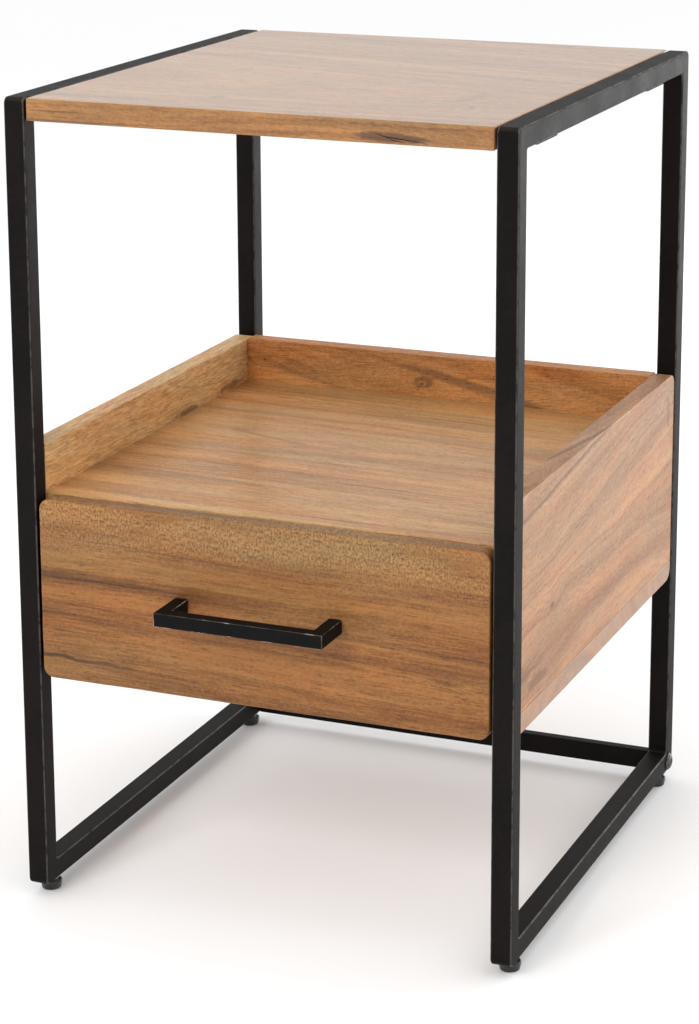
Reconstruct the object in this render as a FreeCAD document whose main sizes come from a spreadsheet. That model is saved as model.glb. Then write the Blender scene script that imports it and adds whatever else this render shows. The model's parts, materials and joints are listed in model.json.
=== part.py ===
import FreeCAD, Part
import os

import Sketcher

# A side table with one drawer and an open tray above it: two welded loops of square tube,
# tied by a flat cross bar, with a solid wood top, a wooden carcass between the posts and a
# drawer on telescopic slides. Millimetres, +Z up. The origin is on the floor, at the centre
# of the whole outline including the handle. The drawer opens towards -Y.

Vector = FreeCAD.Vector
EXACT = 1e-6  # mm, for comparing directions and coordinates
NEAR = 0.01  # mm, for telling faces apart and for volume changes
doc = FreeCAD.newDocument("side_table")
size = doc.addObject("Spreadsheet::Sheet", "Size")

DIMENSIONS = [
    ("frame_width", 380, "outside to outside of the two side frames"),
    ("frame_depth", 400, "front face of the front posts to rear face of the rear posts"),
    ("frame_top", 600, "upper face of the frames and of the table top above the floor"),
    ("frame_base", 10, "underside of the frames above the floor"),
    ("tube_side", 16, "side of the square tube"),
    ("tube_wall", 1.5, "wall of the square tube"),
    ("tube_round", 1.5, "rounding of the tube's long edges"),
    ("weld_round", 4, "rounding of the ground frame corners"),
    ("bar_depth", 8, "front to back of the flat rear cross bar"),
    ("top_thickness", 16, "table top board"),
    ("top_gap", 1.5, "gap between the table top and each frame"),
    ("wood_round", 2, "rounding of the exposed board edges"),
    ("tab_thickness", 3, "flat steel tabs"),
    ("top_tab_length", 45, "tab under the top, along the rail"),
    ("top_tab_reach", 35, "tab under the top, across the rail"),
    ("top_tab_place", 127.5, "tab centre to the middle of the rail"),
    ("top_tab_inset", 5, "tab edge inside the frame's outer face"),
    ("base_tab_length", 32, "tab under the carcass, along the side"),
    ("base_tab_width", 14, "tab under the carcass, across the side"),
    ("base_tab_inset", 4, "tab edge inside the side's outer face"),
    ("board", 15, "carcass board thickness"),
    ("side_recess", 1, "carcass side behind the frame's outer face"),
    ("post_gap", 0.5, "gap between carcass and posts"),
    ("back_recess", 1.5, "back panel behind the side panels' rear ends"),
    ("carcass_base", 177, "underside of the bottom board"),
    ("tray_level", 311, "upper face of the tray floor"),
    ("wall_top", 346.5, "top of the tray's three walls"),
    ("wall_corner", 8, "rounding of the side panel's upper rear corner"),
    ("base_corner", 10, "rounding of the bottom board's lower rear corner"),
    ("front_thickness", 15, "drawer front"),
    ("front_gap", 2, "gap between drawer front and posts"),
    ("front_base", 175.5, "lower edge of the drawer front"),
    ("front_top", 310.5, "upper edge of the drawer front"),
    ("front_corner", 8, "rounding of the drawer front's corners"),
    ("handle_reach", 36, "handle's outer face in front of the drawer front"),
    ("handle_width", 128, "overall width of the handle"),
    ("handle_bar", 10, "side of the handle's square bar"),
    ("handle_round", 0.8, "edge rounding of the handle"),
    ("handle_level", 244.5, "middle of the handle above the floor"),
    ("handle_tap", 14, "depth of the threaded hole in each handle leg"),
    ("box_wall", 12, "drawer box sides, front and back"),
    ("box_base", 202, "lower edge of the drawer box"),
    ("box_height", 84, "height of the drawer box"),
    ("box_length", 320, "length of the drawer box"),
    ("floor_thickness", 6, "drawer bottom panel"),
    ("floor_rise", 6, "drawer bottom above the lower edge of the box"),
    ("floor_tongue", 5, "drawer bottom's edge inside the groove"),
    ("groove_play", 0.2, "play of the drawer bottom in its groove"),
    ("slide_length", 300, "length of each slide member"),
    ("slide_setback", 3, "slides behind the carcass front"),
    ("slide_width", 13, "side panel to drawer box"),
    ("slide_level", 238, "middle of the slides above the floor"),
    ("slide_wall", 1.2, "sheet thickness of the slides"),
    ("slide_screw_front", 30, "first slide screw from the member's front end"),
    ("slide_screw_rear", 250, "second slide screw from the member's front end"),
    ("outer_half", 17.5, "half the height of the outer slide member"),
    ("outer_reach", 8.5, "depth of the outer slide member"),
    ("outer_lip", 3.5, "turned-in lip of the outer slide member"),
    ("middle_half", 13.6, "half the height of the middle slide member"),
    ("middle_start", 2, "middle member's near edge from the side panel"),
    ("middle_end", 11, "middle member's far edge from the side panel"),
    ("middle_web", 5, "middle member's web from the side panel"),
    ("middle_wall", 1, "sheet thickness of the middle slide member"),
    ("inner_half", 10.5, "half the height of the inner slide member"),
    ("inner_start", 7, "inner member's open edge from the side panel"),
    ("dowel_radius", 3, "wooden dowels"),
    ("dowel_play", 0.05, "radial play of dowels and screws in their holes"),
    ("dowel_length", 28, "wooden dowels"),
    ("dowel_short_end", 9, "depth of a dowel in the board it enters through its face"),
    ("dowel_spare", 0.5, "glue space at each end of a dowel"),
    ("foot_place", 180, "foot centre to the middle of the rail"),
    ("foot_base_radius", 7.2, "foot pad at the floor"),
    ("foot_top_radius", 8.2, "foot pad at its top"),
    ("foot_chamfer", 0.8, "broken edges of the foot pad"),
    ("foot_thickness", 6.7, "height of the foot pad"),
    ("foot_socket", 3, "bottom of the stem's socket above the floor"),
    ("stem_radius", 3, "threaded stem of the foot"),
    ("stem_top", 24, "top of the stem above the floor"),
    ("collar_radius", 5, "stop collar on the stem"),
    ("collar_top", 8.7, "top of the stop collar above the floor"),
    ("insert_radius", 4.4, "threaded insert in the rail"),
    ("insert_flange", 6.5, "flange radius of the threaded insert"),
    ("insert_flange_thickness", 1, "flange of the threaded insert"),
    ("insert_top", 22, "top of the threaded insert above the floor"),
    ("insert_play", 0.1, "radial play of the insert in the rail"),
    ("key_depth", 0.6, "share of the head's height taken by the key socket"),
    ("key_share", 0.5, "key socket radius as a share of the head's radius"),
    ("head_chamfer", 0.25, "broken edge of a screw head as a share of its height"),
    ("joint_bolt_head", 7, "head radius of the bolts that hold the cross bar"),
    ("joint_bolt_height", 3, "their head height"),
    ("joint_bolt_shank", 2.5, "their shank radius"),
    ("joint_bolt_length", 38, "their length under the head"),
    ("joint_bolt_tap", 24, "depth of the threaded holes in the cross bar"),
    ("top_screw_head", 4, "head radius of the screws that hold the table top"),
    ("top_screw_height", 2.2, "their head height"),
    ("top_screw_shank", 2, "their shank radius"),
    ("top_screw_length", 13, "their length under the head"),
    ("base_screw_head", 4, "head radius of the screws that hold the carcass"),
    ("base_screw_height", 2.2, "their head height"),
    ("base_screw_shank", 2, "their shank radius"),
    ("base_screw_length", 13, "their length under the head"),
    ("slide_screw_head", 3, "head radius of the slide screws"),
    ("slide_screw_height", 1, "their head height"),
    ("slide_screw_shank", 1.6, "their shank radius"),
    ("slide_screw_length", 10, "their length under the head"),
    ("front_screw_head", 3.5, "head radius of the screws that hold the drawer front"),
    ("front_screw_height", 2, "their head height"),
    ("front_screw_shank", 1.8, "their shank radius"),
    ("front_screw_length", 22, "their length under the head"),
    ("front_screw_place", 120, "their distance from the drawer's middle"),
    ("front_screw_spread", 20, "their distance above and below the handle"),
    ("handle_screw_head", 4, "head radius of the handle screws"),
    ("handle_screw_height", 2.5, "their head height"),
    ("handle_screw_shank", 2, "their shank radius"),
    ("handle_screw_length", 40, "their length under the head"),
]
for row, (alias, value, note) in enumerate(DIMENSIONS, start=1):
    size.set("A%d" % row, alias)
    size.set("B%d" % row, str(value))
    size.set("C%d" % row, note)
    size.setAlias("B%d" % row, alias)
doc.recompute()

# Places that several sub-parts share, as formulas over the sheet.
OUTSIDE = "(Size.frame_width / 2)"
INSIDE = "(Size.frame_width / 2 - Size.tube_side)"
RAIL_MIDDLE = "(Size.frame_width / 2 - Size.tube_side / 2)"
FRONT = "((Size.handle_reach - Size.frame_depth) / 2)"
REAR = "((Size.handle_reach + Size.frame_depth) / 2)"
MIDDLE = "(Size.handle_reach / 2)"
CARCASS_FRONT = "(%s + Size.tube_side + Size.post_gap)" % FRONT
CARCASS_REAR = "(%s - Size.tube_side - Size.post_gap)" % REAR
SIDE_FACE = "(%s - Size.side_recess)" % OUTSIDE
SIDE_INNER = "(%s - Size.board)" % SIDE_FACE
BOARD_TOP = "(Size.carcass_base + Size.board)"
BACK_REAR = "(%s - Size.back_recess)" % CARCASS_REAR
BACK_FRONT = "(%s - Size.board)" % BACK_REAR
SHELF_BASE = "(Size.tray_level - Size.board)"
BOX_SIDE = "(%s - Size.slide_width)" % SIDE_INNER
BOX_INNER = "(%s - Size.box_wall)" % BOX_SIDE
BOX_FRONT = "(%s + Size.front_thickness)" % FRONT
BOX_REAR = "(%s + Size.box_length)" % BOX_FRONT
BOX_TOP = "(Size.box_base + Size.box_height)"
FLOOR_BASE = "(Size.box_base + Size.floor_rise)"
SLIDE_FRONT = "(%s + Size.slide_setback)" % CARCASS_FRONT
HANDLE_LEG = "(Size.handle_width / 2 - Size.handle_bar / 2)"
BAR_MIDDLE = "(%s - Size.tube_side + Size.bar_depth / 2)" % REAR
RAIL_LEVEL = "(Size.frame_base + Size.tube_side / 2)"
TAB_SCREW_SIDE = "(%s - Size.top_gap - Size.top_tab_reach / 3)" % INSIDE
BASE_TAB_SIDE = "(%s - Size.base_tab_inset - Size.base_tab_width / 2)" % SIDE_FACE

SIDES = [("left", -1), ("right", 1)]
ENDS = [("front", -1), ("rear", 1)]
parts = []


# ---------------------------------------------------------------- helpers
def number(formula):
    """The present value of a formula over the sheet."""
    return float(size.evalExpression(formula))


def part(thing, name):
    """Marks an object as a sub-part of the table under its own name."""
    thing.Label = name
    parts.append(thing)
    return thing


def less(whole, taken):
    """The formula for one formula less another."""
    return "(%s) - (%s)" % (whole, taken)


def place(thing, x="0", y="0", z="0"):
    """Binds an object's position to three formulas."""
    thing.setExpression("Placement.Base.x", x)
    thing.setExpression("Placement.Base.y", y)
    thing.setExpression("Placement.Base.z", z)
    return thing


def new_body(name, x="0", y="0", z="0"):
    return place(doc.addObject("PartDesign::Body", name), x, y, z)


def sketch_on(body, role, offset="0"):
    """An empty sketch on one of the body's own origin planes, moved along the plane's normal."""
    sketch = body.newObject("Sketcher::SketchObject", body.Name + "_sketch")
    plane = next(f for f in body.Origin.OriginFeatures if f.Role == role)
    sketch.AttachmentSupport = (plane, [""])
    sketch.MapMode = "FlatFace"
    sketch.setExpression("AttachmentOffset.Base.z", offset)
    return sketch


def pin_point(sketch, index, end, corner):
    """Holds one point of a sketch at a pair of formulas."""
    for kind, formula in zip(("DistanceX", "DistanceY"), corner):
        rule = Sketcher.Constraint(kind, -1, 1, index, end, number(formula))
        sketch.setExpression("Constraints[%d]" % sketch.addConstraint(rule), formula)


def outline(sketch, corners, arcs=None):
    """A closed outline. arcs[i] is the radius formula of an arc in place of the straight side
    after corner i, with its centre on the left of the way the outline runs."""
    arcs = arcs or {}
    points = [Vector(number(u), number(v), 0) for u, v in corners]
    ends = []
    for i, start in enumerate(points):
        stop = points[(i + 1) % len(points)]
        if i not in arcs:
            index = sketch.addGeometry(Part.LineSegment(start, stop), False)
        else:
            radius = number(arcs[i])
            chord = stop - start
            left = Vector(-chord.y, chord.x, 0).normalize()
            rise = (radius**2 - (chord.Length / 2) ** 2) ** 0.5
            centre = start + chord / 2 + left * rise
            crown = centre - left * radius
            index = sketch.addGeometry(Part.Arc(start, crown, stop), False)
        first_is_start = (sketch.getPoint(index, 1) - start).Length < EXACT
        ends.append((index, 1 if first_is_start else 2, 2 if first_is_start else 1))
    for i, (index, first, last) in enumerate(ends):
        following = ends[(i + 1) % len(ends)]
        sketch.addConstraint(Sketcher.Constraint("Coincident", index, last, following[0], following[1]))
        pin_point(sketch, index, first, corners[i])
    for i, formula in arcs.items():
        rule = Sketcher.Constraint("Radius", ends[i][0], number(formula))
        sketch.setExpression("Constraints[%d]" % sketch.addConstraint(rule), formula)
    return sketch


def rectangle(sketch, low, high):
    return outline(sketch, [(low[0], low[1]), (high[0], low[1]), (high[0], high[1]), (low[0], high[1])])


def circles(sketch, centres, radius):
    for centre in centres:
        middle = Vector(number(centre[0]), number(centre[1]), 0)
        index = sketch.addGeometry(Part.Circle(middle, Vector(0, 0, 1), number(radius)), False)
        pin_point(sketch, index, 3, centre)
        rule = Sketcher.Constraint("Radius", index, number(radius))
        sketch.setExpression("Constraints[%d]" % sketch.addConstraint(rule), radius)
    return sketch


def pad(body, sketch, length, both_ways=False, reverse=False):
    feature = body.newObject("PartDesign::Pad", body.Name + "_pad")
    feature.Profile = sketch
    feature.setExpression("Length", length)
    feature.SideType = "Symmetric" if both_ways else "One side"
    feature.Reversed = reverse
    doc.recompute()
    return feature


def pocket(body, sketch, length, both_ways=False, reverse=False):
    """Cuts a sketch out of a body, and makes sure that it cut something."""
    before = body.Tip.Shape.Volume
    feature = body.newObject("PartDesign::Pocket", body.Name + "_pocket")
    feature.Profile = sketch
    feature.setExpression("Length", length)
    feature.SideType = "Symmetric" if both_ways else "One side"
    feature.Reversed = reverse
    doc.recompute()
    if feature.Shape.Volume > before - NEAR:
        raise RuntimeError("nothing was cut from " + body.Name)
    return feature


def round_edges(body, radius, wanted=None):
    """Rounds the edges of the body's last feature that wanted() accepts, or all of them."""
    base = body.Tip
    edges = base.Shape.Edges
    names = ["Edge%d" % (i + 1) for i, edge in enumerate(edges) if wanted is None or wanted(edge)]
    feature = body.newObject("PartDesign::Fillet", body.Name + "_round")
    feature.Base = (base, names)
    feature.setExpression("Radius", radius)
    doc.recompute()
    return feature


def direction(edge):
    """Which axis a straight edge runs along, or an empty string."""
    if edge.Curve.TypeId != "Part::GeomLine":
        return ""
    run = edge.Curve.Direction
    return next((axis for axis in "xyz" if abs(abs(getattr(run, axis)) - 1) < EXACT), "")


def board(name, low, high, rounding=None, wanted=None):
    """A rectangular board between two corners, with its body placed at the low corner."""
    body = part(new_body(name, *low), name)
    spans = [less(b, a) for a, b in zip(low, high)]
    pad(body, rectangle(sketch_on(body, "XY_Plane"), ("0", "0"), spans[:2]), spans[2])
    if rounding:
        round_edges(body, rounding, wanted)
    return body


def bore_up(body, low, centres, radius, depth):
    """Round holes up into a board from its underside, at centres given in the table's frame."""
    local = [(less(x, low[0]), less(y, low[1])) for x, y in centres]
    pocket(body, circles(sketch_on(body, "XY_Plane"), local, radius), depth, reverse=True)


def bore_down(body, low, top, centres, radius, depth):
    """Round holes down into a board from its upper face."""
    local = [(less(x, low[0]), less(y, low[1])) for x, y in centres]
    sketch = circles(sketch_on(body, "XY_Plane", less(top, low[2])), local, radius)
    pocket(body, sketch, depth)


def bore_across(body, low, face, centres, radius, depth, towards):
    """Round holes along X from the plane at face, towards +1 or -1, at (y, z) centres."""
    local = [(less(y, low[1]), less(z, low[2])) for y, z in centres]
    sketch = circles(sketch_on(body, "YZ_Plane", less(face, low[0])), local, radius)
    pocket(body, sketch, depth, reverse=towards > 0)


def bore_back(body, low, face, centres, radius, depth, towards):
    """Round holes along Y from the plane at face, towards +1 or -1, at (x, z) centres."""
    local = [(less(x, low[0]), less(z, low[2])) for x, z in centres]
    sketch = circles(sketch_on(body, "XZ_Plane", less(low[1], face)), local, radius)
    pocket(body, sketch, depth, reverse=towards < 0)


def cylinder(name, radius, height, start="0"):
    thing = doc.addObject("Part::Cylinder", name)
    thing.setExpression("Radius", radius)
    thing.setExpression("Height", height)
    thing.setExpression("Placement.Base.z", start)
    return thing


def turned(name, x, y, corners):
    """A turned piece from its half-section, with its axis standing at (x, y)."""
    body = part(new_body(name, x, y), name)
    sketch = outline(sketch_on(body, "XZ_Plane"), corners)
    feature = body.newObject("PartDesign::Revolution", name + "_turn")
    feature.Profile = sketch
    feature.ReferenceAxis = (sketch, ["V_Axis"])
    feature.Angle = 360
    doc.recompute()
    return body


def screw(name, kind, point, points_to):
    """One screw with a chamfered flat head and a hexagon socket. point is under its head."""
    size_of = {k: "Size.%s_%s" % (kind, k) for k in ("head", "height", "shank", "length")}
    bevel = "(%s * Size.head_chamfer)" % size_of["height"]
    plain = "(%s - %s)" % (size_of["height"], bevel)
    head = cylinder(name + "_head", size_of["head"], plain, "-" + plain)
    crown = doc.addObject("Part::Cone", name + "_crown")
    crown.setExpression("Radius1", "%s - %s" % (size_of["head"], bevel))
    crown.setExpression("Radius2", size_of["head"])
    crown.setExpression("Height", bevel)
    crown.setExpression("Placement.Base.z", "-" + size_of["height"])
    shank = cylinder(name + "_shank", size_of["shank"], size_of["length"])
    solid = doc.addObject("Part::MultiFuse", name + "_solid")
    solid.Shapes = [head, crown, shank]
    socket = doc.addObject("Part::Prism", name + "_socket")
    socket.Polygon = 6
    socket.setExpression("Circumradius", "%s * Size.key_share" % size_of["head"])
    socket.setExpression("Height", "%s * Size.key_depth" % size_of["height"])
    socket.setExpression("Placement.Base.z", "-" + size_of["height"])
    whole = doc.addObject("Part::Cut", name)
    whole.Base = solid
    whole.Tool = socket
    whole.Placement = FreeCAD.Placement(Vector(), FreeCAD.Rotation(Vector(0, 0, 1), Vector(*points_to)))
    return place(whole, *point)


def group(name, members):
    """Identical pieces kept as separate solids under one name."""
    thing = doc.addObject("Part::Compound", name)
    thing.Links = members
    return part(thing, name)


# ---------------------------------------------------------------- welded side frames
def frame_member(name, side, runs_up, end):
    """One mitred length of tube. end is -1 or +1: front or rear post, bottom or top rail."""
    half = "(Size.frame_depth / 2)"
    mid_level = "((Size.frame_top + Size.frame_base) / 2)"
    half_rise = "((Size.frame_top - Size.frame_base) / 2)"
    reach, span = (half, half_rise) if runs_up else (half_rise, half)
    bend = "(Size.weld_round * (1 - sqrt(2) / 2))"

    def corner(inwards, along, along_sign):
        across_formula = "%d * (%s - %s)" % (end, reach, inwards)
        along_formula = "%d * (%s - %s)" % (along_sign, span, along)
        return (across_formula, along_formula) if runs_up else (along_formula, across_formula)

    body = part(new_body(name, "%d * %s" % (side, RAIL_MIDDLE), MIDDLE, mid_level), name)
    ring = [
        corner("0", "Size.weld_round", -1),
        corner("0", "Size.weld_round", 1),
        corner(bend, bend, 1),
        corner("Size.tube_side", "Size.tube_side", 1),
        corner("Size.tube_side", "Size.tube_side", -1),
        corner(bend, bend, -1),
    ]
    arcs = {1: "Size.weld_round", 5: "Size.weld_round"}
    counter_clockwise = (end > 0) == runs_up
    if not counter_clockwise:
        ring.reverse()
        arcs = {3: "Size.weld_round", 5: "Size.weld_round"}
    pad(body, outline(sketch_on(body, "YZ_Plane"), ring, arcs), "Size.tube_side", both_ways=True)
    half_side = number("Size.tube_side / 2")
    round_edges(body, "Size.tube_round", lambda edge: long_tube_edge(edge, half_side))
    core = [corner("Size.tube_wall", "Size.tube_wall", s) for s in (-1, 1)]
    far_wall = "Size.tube_side - Size.tube_wall"
    core += [corner(far_wall, far_wall, s) for s in (1, -1)]
    bore = outline(sketch_on(body, "YZ_Plane"), core)
    pocket(body, bore, "Size.tube_side - 2 * Size.tube_wall", both_ways=True)
    return body


def long_tube_edge(edge, half_side):
    """The edges that run along a frame member: on its two broad faces, and not on a mitre."""
    box = edge.BoundBox
    on_face = box.XLength < EXACT and abs(abs(box.XMin) - half_side) < EXACT
    mitre = edge.Curve.TypeId == "Part::GeomLine" and direction(edge) == ""
    return on_face and not mitre


def side_frames():
    for side_name, side in SIDES:
        for end_name, end in ENDS:
            frame_member("%s_%s_post" % (side_name, end_name), side, True, end)
        frame_member(side_name + "_top_rail", side, False, 1)
        rail = frame_member(side_name + "_bottom_rail", side, False, -1)
        feet = [("0", "%d * Size.foot_place" % end) for _, end in ENDS]
        below = "-(Size.frame_top - Size.frame_base) / 2"
        sketch = sketch_on(rail, "XY_Plane", below)
        circles(sketch, feet, "Size.insert_radius + Size.insert_play")
        pocket(rail, sketch, "Size.tube_wall * 2", reverse=True)
        bolt = ("%s - %s" % (BAR_MIDDLE, MIDDLE), "%s + Size.tube_side / 2" % below)
        sketch = circles(sketch_on(rail, "YZ_Plane"), [bolt], "Size.joint_bolt_shank + Size.dowel_play")
        pocket(rail, sketch, "Size.tube_side * 2", both_ways=True)


def rear_cross_bar():
    """The flat bar that ties the two frames at the back, tapped at both ends, with its bolts."""
    bore = "Size.joint_bolt_shank + Size.dowel_play"
    low = ("-%s" % INSIDE, "%s - Size.tube_side" % REAR, "Size.frame_base")
    high = (INSIDE, "%s - Size.tube_side + Size.bar_depth" % REAR, "Size.frame_base + Size.tube_side")
    bar = board("rear_cross_bar", low, high, "Size.tube_round / 2", lambda edge: direction(edge) == "x")
    for _, side in SIDES:
        face = "%d * %s" % (side, INSIDE)
        spot = [(BAR_MIDDLE, RAIL_LEVEL)]
        bore_across(bar, low, face, spot, bore, "Size.joint_bolt_tap", -side)
    bolts = []
    for side_name, side in SIDES:
        point = ("%d * %s" % (side, OUTSIDE), BAR_MIDDLE, RAIL_LEVEL)
        bolts.append(screw("bolt_" + side_name, "joint_bolt", point, (-side, 0, 0)))
    group("cross_bar_bolts", bolts)


# ---------------------------------------------------------------- steel tabs and their screws
def tab(name, x0, x1, y0, y1, top, hole):
    """A flat tab with rounded corners and one screw hole, its upper face at top."""
    body = new_body(name, x0, y0, "%s - Size.tab_thickness" % top)
    across, along = less(x1, x0), less(y1, y0)
    pad(body, rectangle(sketch_on(body, "XY_Plane"), ("0", "0"), (across, along)), "Size.tab_thickness")
    round_edges(body, "Size.tab_thickness", lambda edge: direction(edge) == "z")
    centre = [(less(hole[0], x0), less(hole[1], y0))]
    sketch = circles(sketch_on(body, "XY_Plane"), centre, hole[2])
    pocket(body, sketch, "Size.tab_thickness", reverse=True)
    return body


def top_tabs():
    """Tabs welded under the top rails, each with a screw up into the table top."""
    screws = []
    under = "Size.frame_top - Size.tube_side"
    for side_name, side in SIDES:
        pair = []
        for end_name, end in ENDS:
            outer = "(%s - Size.top_tab_inset)" % OUTSIDE
            inner = "(%s - Size.top_tab_reach)" % outer
            x0, x1 = (inner, outer) if side > 0 else ("(-%s)" % outer, "(-%s)" % inner)
            centre_y = "(%s + %d * Size.top_tab_place)" % (MIDDLE, end)
            y0 = "(%s - Size.top_tab_length / 2)" % centre_y
            y1 = "(%s + Size.top_tab_length / 2)" % centre_y
            spot_x = "(%d * %s)" % (side, TAB_SCREW_SIDE)
            hole = (spot_x, centre_y, "Size.top_screw_shank + Size.dowel_play")
            pair.append(tab("top_tab_%s_%s" % (side_name, end_name), x0, x1, y0, y1, under, hole))
            point = (spot_x, centre_y, under + " - Size.tab_thickness")
            name = "top_screw_%s_%s" % (side_name, end_name)
            screws.append(screw(name, "top_screw", point, (0, 0, 1)))
        group(side_name + "_top_tabs", pair)
    group("top_screws", screws)


def base_tabs():
    """Tabs welded to the posts, each with a screw up into the carcass."""
    screws = []
    for side_name, side in SIDES:
        pair = []
        for end_name, end in ENDS:
            outer = "(%s - Size.base_tab_inset)" % SIDE_FACE
            inner = "(%s - Size.base_tab_width)" % outer
            x0, x1 = (inner, outer) if side > 0 else ("(-%s)" % outer, "(-%s)" % inner)
            post = "(%s + Size.tube_side)" % FRONT if end < 0 else "(%s - Size.tube_side)" % REAR
            free = "(%s - %d * Size.base_tab_length)" % (post, end)
            y0, y1 = (post, free) if end < 0 else (free, post)
            spot = ("(%d * %s)" % (side, BASE_TAB_SIDE), "(%s + %s) / 2" % (post, free))
            hole = (spot[0], spot[1], "Size.base_screw_shank + Size.dowel_play")
            name = "base_tab_%s_%s" % (side_name, end_name)
            pair.append(tab(name, x0, x1, y0, y1, "Size.carcass_base", hole))
            point = (spot[0], spot[1], "Size.carcass_base - Size.tab_thickness")
            name = "base_screw_%s_%s" % (side_name, end_name)
            screws.append(screw(name, "base_screw", point, (0, 0, 1)))
        group(side_name + "_carcass_tabs", pair)
    group("carcass_screws", screws)


# ---------------------------------------------------------------- wooden top and carcass
def table_top():
    low = ("-(%s - Size.top_gap)" % INSIDE, FRONT, "Size.frame_top - Size.top_thickness")
    high = ("(%s - Size.top_gap)" % INSIDE, REAR, "Size.frame_top")
    top = board("table_top", low, high, "Size.wood_round")
    spots = []
    for _, side in SIDES:
        for _, end in ENDS:
            y = "(%s + %d * Size.top_tab_place)" % (MIDDLE, end)
            spots.append(("%d * %s" % (side, TAB_SCREW_SIDE), y))
    depth = "Size.top_screw_length - Size.tab_thickness + Size.dowel_spare"
    bore_up(top, low, spots, "Size.top_screw_shank + Size.dowel_play", depth)


def dowel_row(low, high, count):
    """Evenly spread places between two formulas, a quarter pitch in from each end."""
    return ["(%s + (%s - %s) * %s)" % (low, high, low, (i + 0.5) / count) for i in range(count)]


BASE_DOWELS = dowel_row(CARCASS_FRONT, CARCASS_REAR, 3)
SHELF_DOWELS = dowel_row(CARCASS_FRONT, BACK_FRONT, 3)
BACK_DOWELS = dowel_row(BOARD_TOP, SHELF_BASE, 2)
SIDE_MIDDLE = "(%s - Size.board / 2)" % SIDE_FACE
SHELF_MIDDLE = "(%s + Size.board / 2)" % SHELF_BASE
BACK_MIDDLE = "(%s + Size.board / 2)" % BACK_FRONT
HOLE = "Size.dowel_radius + Size.dowel_play"
SHORT_HOLE = "Size.dowel_short_end + Size.dowel_spare"
LONG_HOLE = "Size.dowel_length - Size.dowel_short_end + Size.dowel_spare"


def side_panel(name, side):
    """A carcass side: it stands on the bottom board and carries on up as the tray's wall."""
    inner_x = "%d * %s" % (side, SIDE_INNER)
    body = part(new_body(name, inner_x), name)
    front, rear = CARCASS_FRONT, CARCASS_REAR
    corners = [
        (front, BOARD_TOP),
        (rear, BOARD_TOP),
        (rear, "Size.wall_top - Size.wall_corner"),
        ("%s - Size.wall_corner" % rear, "Size.wall_top"),
        (front, "Size.wall_top"),
    ]
    shape = outline(sketch_on(body, "YZ_Plane"), corners, {2: "Size.wall_corner"})
    pad(body, shape, "Size.board", reverse=side < 0)
    base = number(BOARD_TOP)

    def exposed(edge):
        return edge.BoundBox.ZMax > base + NEAR and direction(edge) != "x"

    round_edges(body, "Size.wood_round / 2", exposed)
    low = (inner_x, "0", "0")
    x_of_middle = "%d * %s" % (side, SIDE_MIDDLE)
    sketch = sketch_on(body, "XY_Plane", BOARD_TOP)
    circles(sketch, [(less(x_of_middle, inner_x), y) for y in BASE_DOWELS], HOLE)
    pocket(body, sketch, LONG_HOLE, reverse=True)
    spots = [(y, SHELF_MIDDLE) for y in SHELF_DOWELS] + [(BACK_MIDDLE, z) for z in BACK_DOWELS]
    bore_across(body, low, inner_x, spots, HOLE, SHORT_HOLE, side)
    slide_spots = [("%s + Size.slide_screw_%s" % (SLIDE_FRONT, e), "Size.slide_level") for e, _ in ENDS]
    depth = "Size.slide_screw_length - Size.slide_wall + Size.dowel_spare"
    bore_across(body, low, inner_x, slide_spots, "Size.slide_screw_shank + Size.dowel_play", depth, side)


def carcass():
    for side_name, side in SIDES:
        side_panel(side_name + "_side_panel", side)

    low = ("-" + SIDE_INNER, BACK_FRONT, BOARD_TOP)
    high = (SIDE_INNER, BACK_REAR, "Size.wall_top")
    top = number(less(high[2], low[2]))

    def upper(edge):
        return direction(edge) == "x" and edge.BoundBox.ZMin > top - NEAR

    back = board("back_panel", low, high, "Size.wood_round / 2", upper)
    for _, side in SIDES:
        spots = [(BACK_MIDDLE, z) for z in BACK_DOWELS]
        bore_across(back, low, "%d * %s" % (side, SIDE_INNER), spots, HOLE, LONG_HOLE, -side)

    low = ("-" + SIDE_INNER, CARCASS_FRONT, SHELF_BASE)
    high = (SIDE_INNER, BACK_FRONT, "Size.tray_level")

    def front_edge(edge):
        return direction(edge) == "x" and edge.BoundBox.YMax < NEAR

    shelf = board("tray_floor", low, high, "Size.wood_round / 2", front_edge)
    for _, side in SIDES:
        spots = [(y, SHELF_MIDDLE) for y in SHELF_DOWELS]
        bore_across(shelf, low, "%d * %s" % (side, SIDE_INNER), spots, HOLE, LONG_HOLE, -side)

    low = ("-" + SIDE_FACE, CARCASS_FRONT, "Size.carcass_base")
    high = (SIDE_FACE, CARCASS_REAR, BOARD_TOP)
    depth = number(less(high[1], low[1]))

    def lower_rear(edge):
        box = edge.BoundBox
        return direction(edge) == "x" and box.YMin > depth - NEAR and box.ZMax < NEAR

    base = board("bottom_board", low, high, "Size.base_corner", lower_rear)
    spots = [("%d * %s" % (side, SIDE_MIDDLE), y) for _, side in SIDES for y in BASE_DOWELS]
    bore_down(base, low, BOARD_TOP, spots, HOLE, SHORT_HOLE)
    spots = []
    inset = "(Size.tube_side + Size.base_tab_length / 2)"
    for _, side in SIDES:
        x = "%d * %s" % (side, BASE_TAB_SIDE)
        spots.append((x, "%s + %s" % (FRONT, inset)))
        spots.append((x, "%s - %s" % (REAR, inset)))
    depth = "Size.base_screw_length - Size.tab_thickness + Size.dowel_spare"
    bore_up(base, low, spots, "Size.base_screw_shank + Size.dowel_play", depth)


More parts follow.
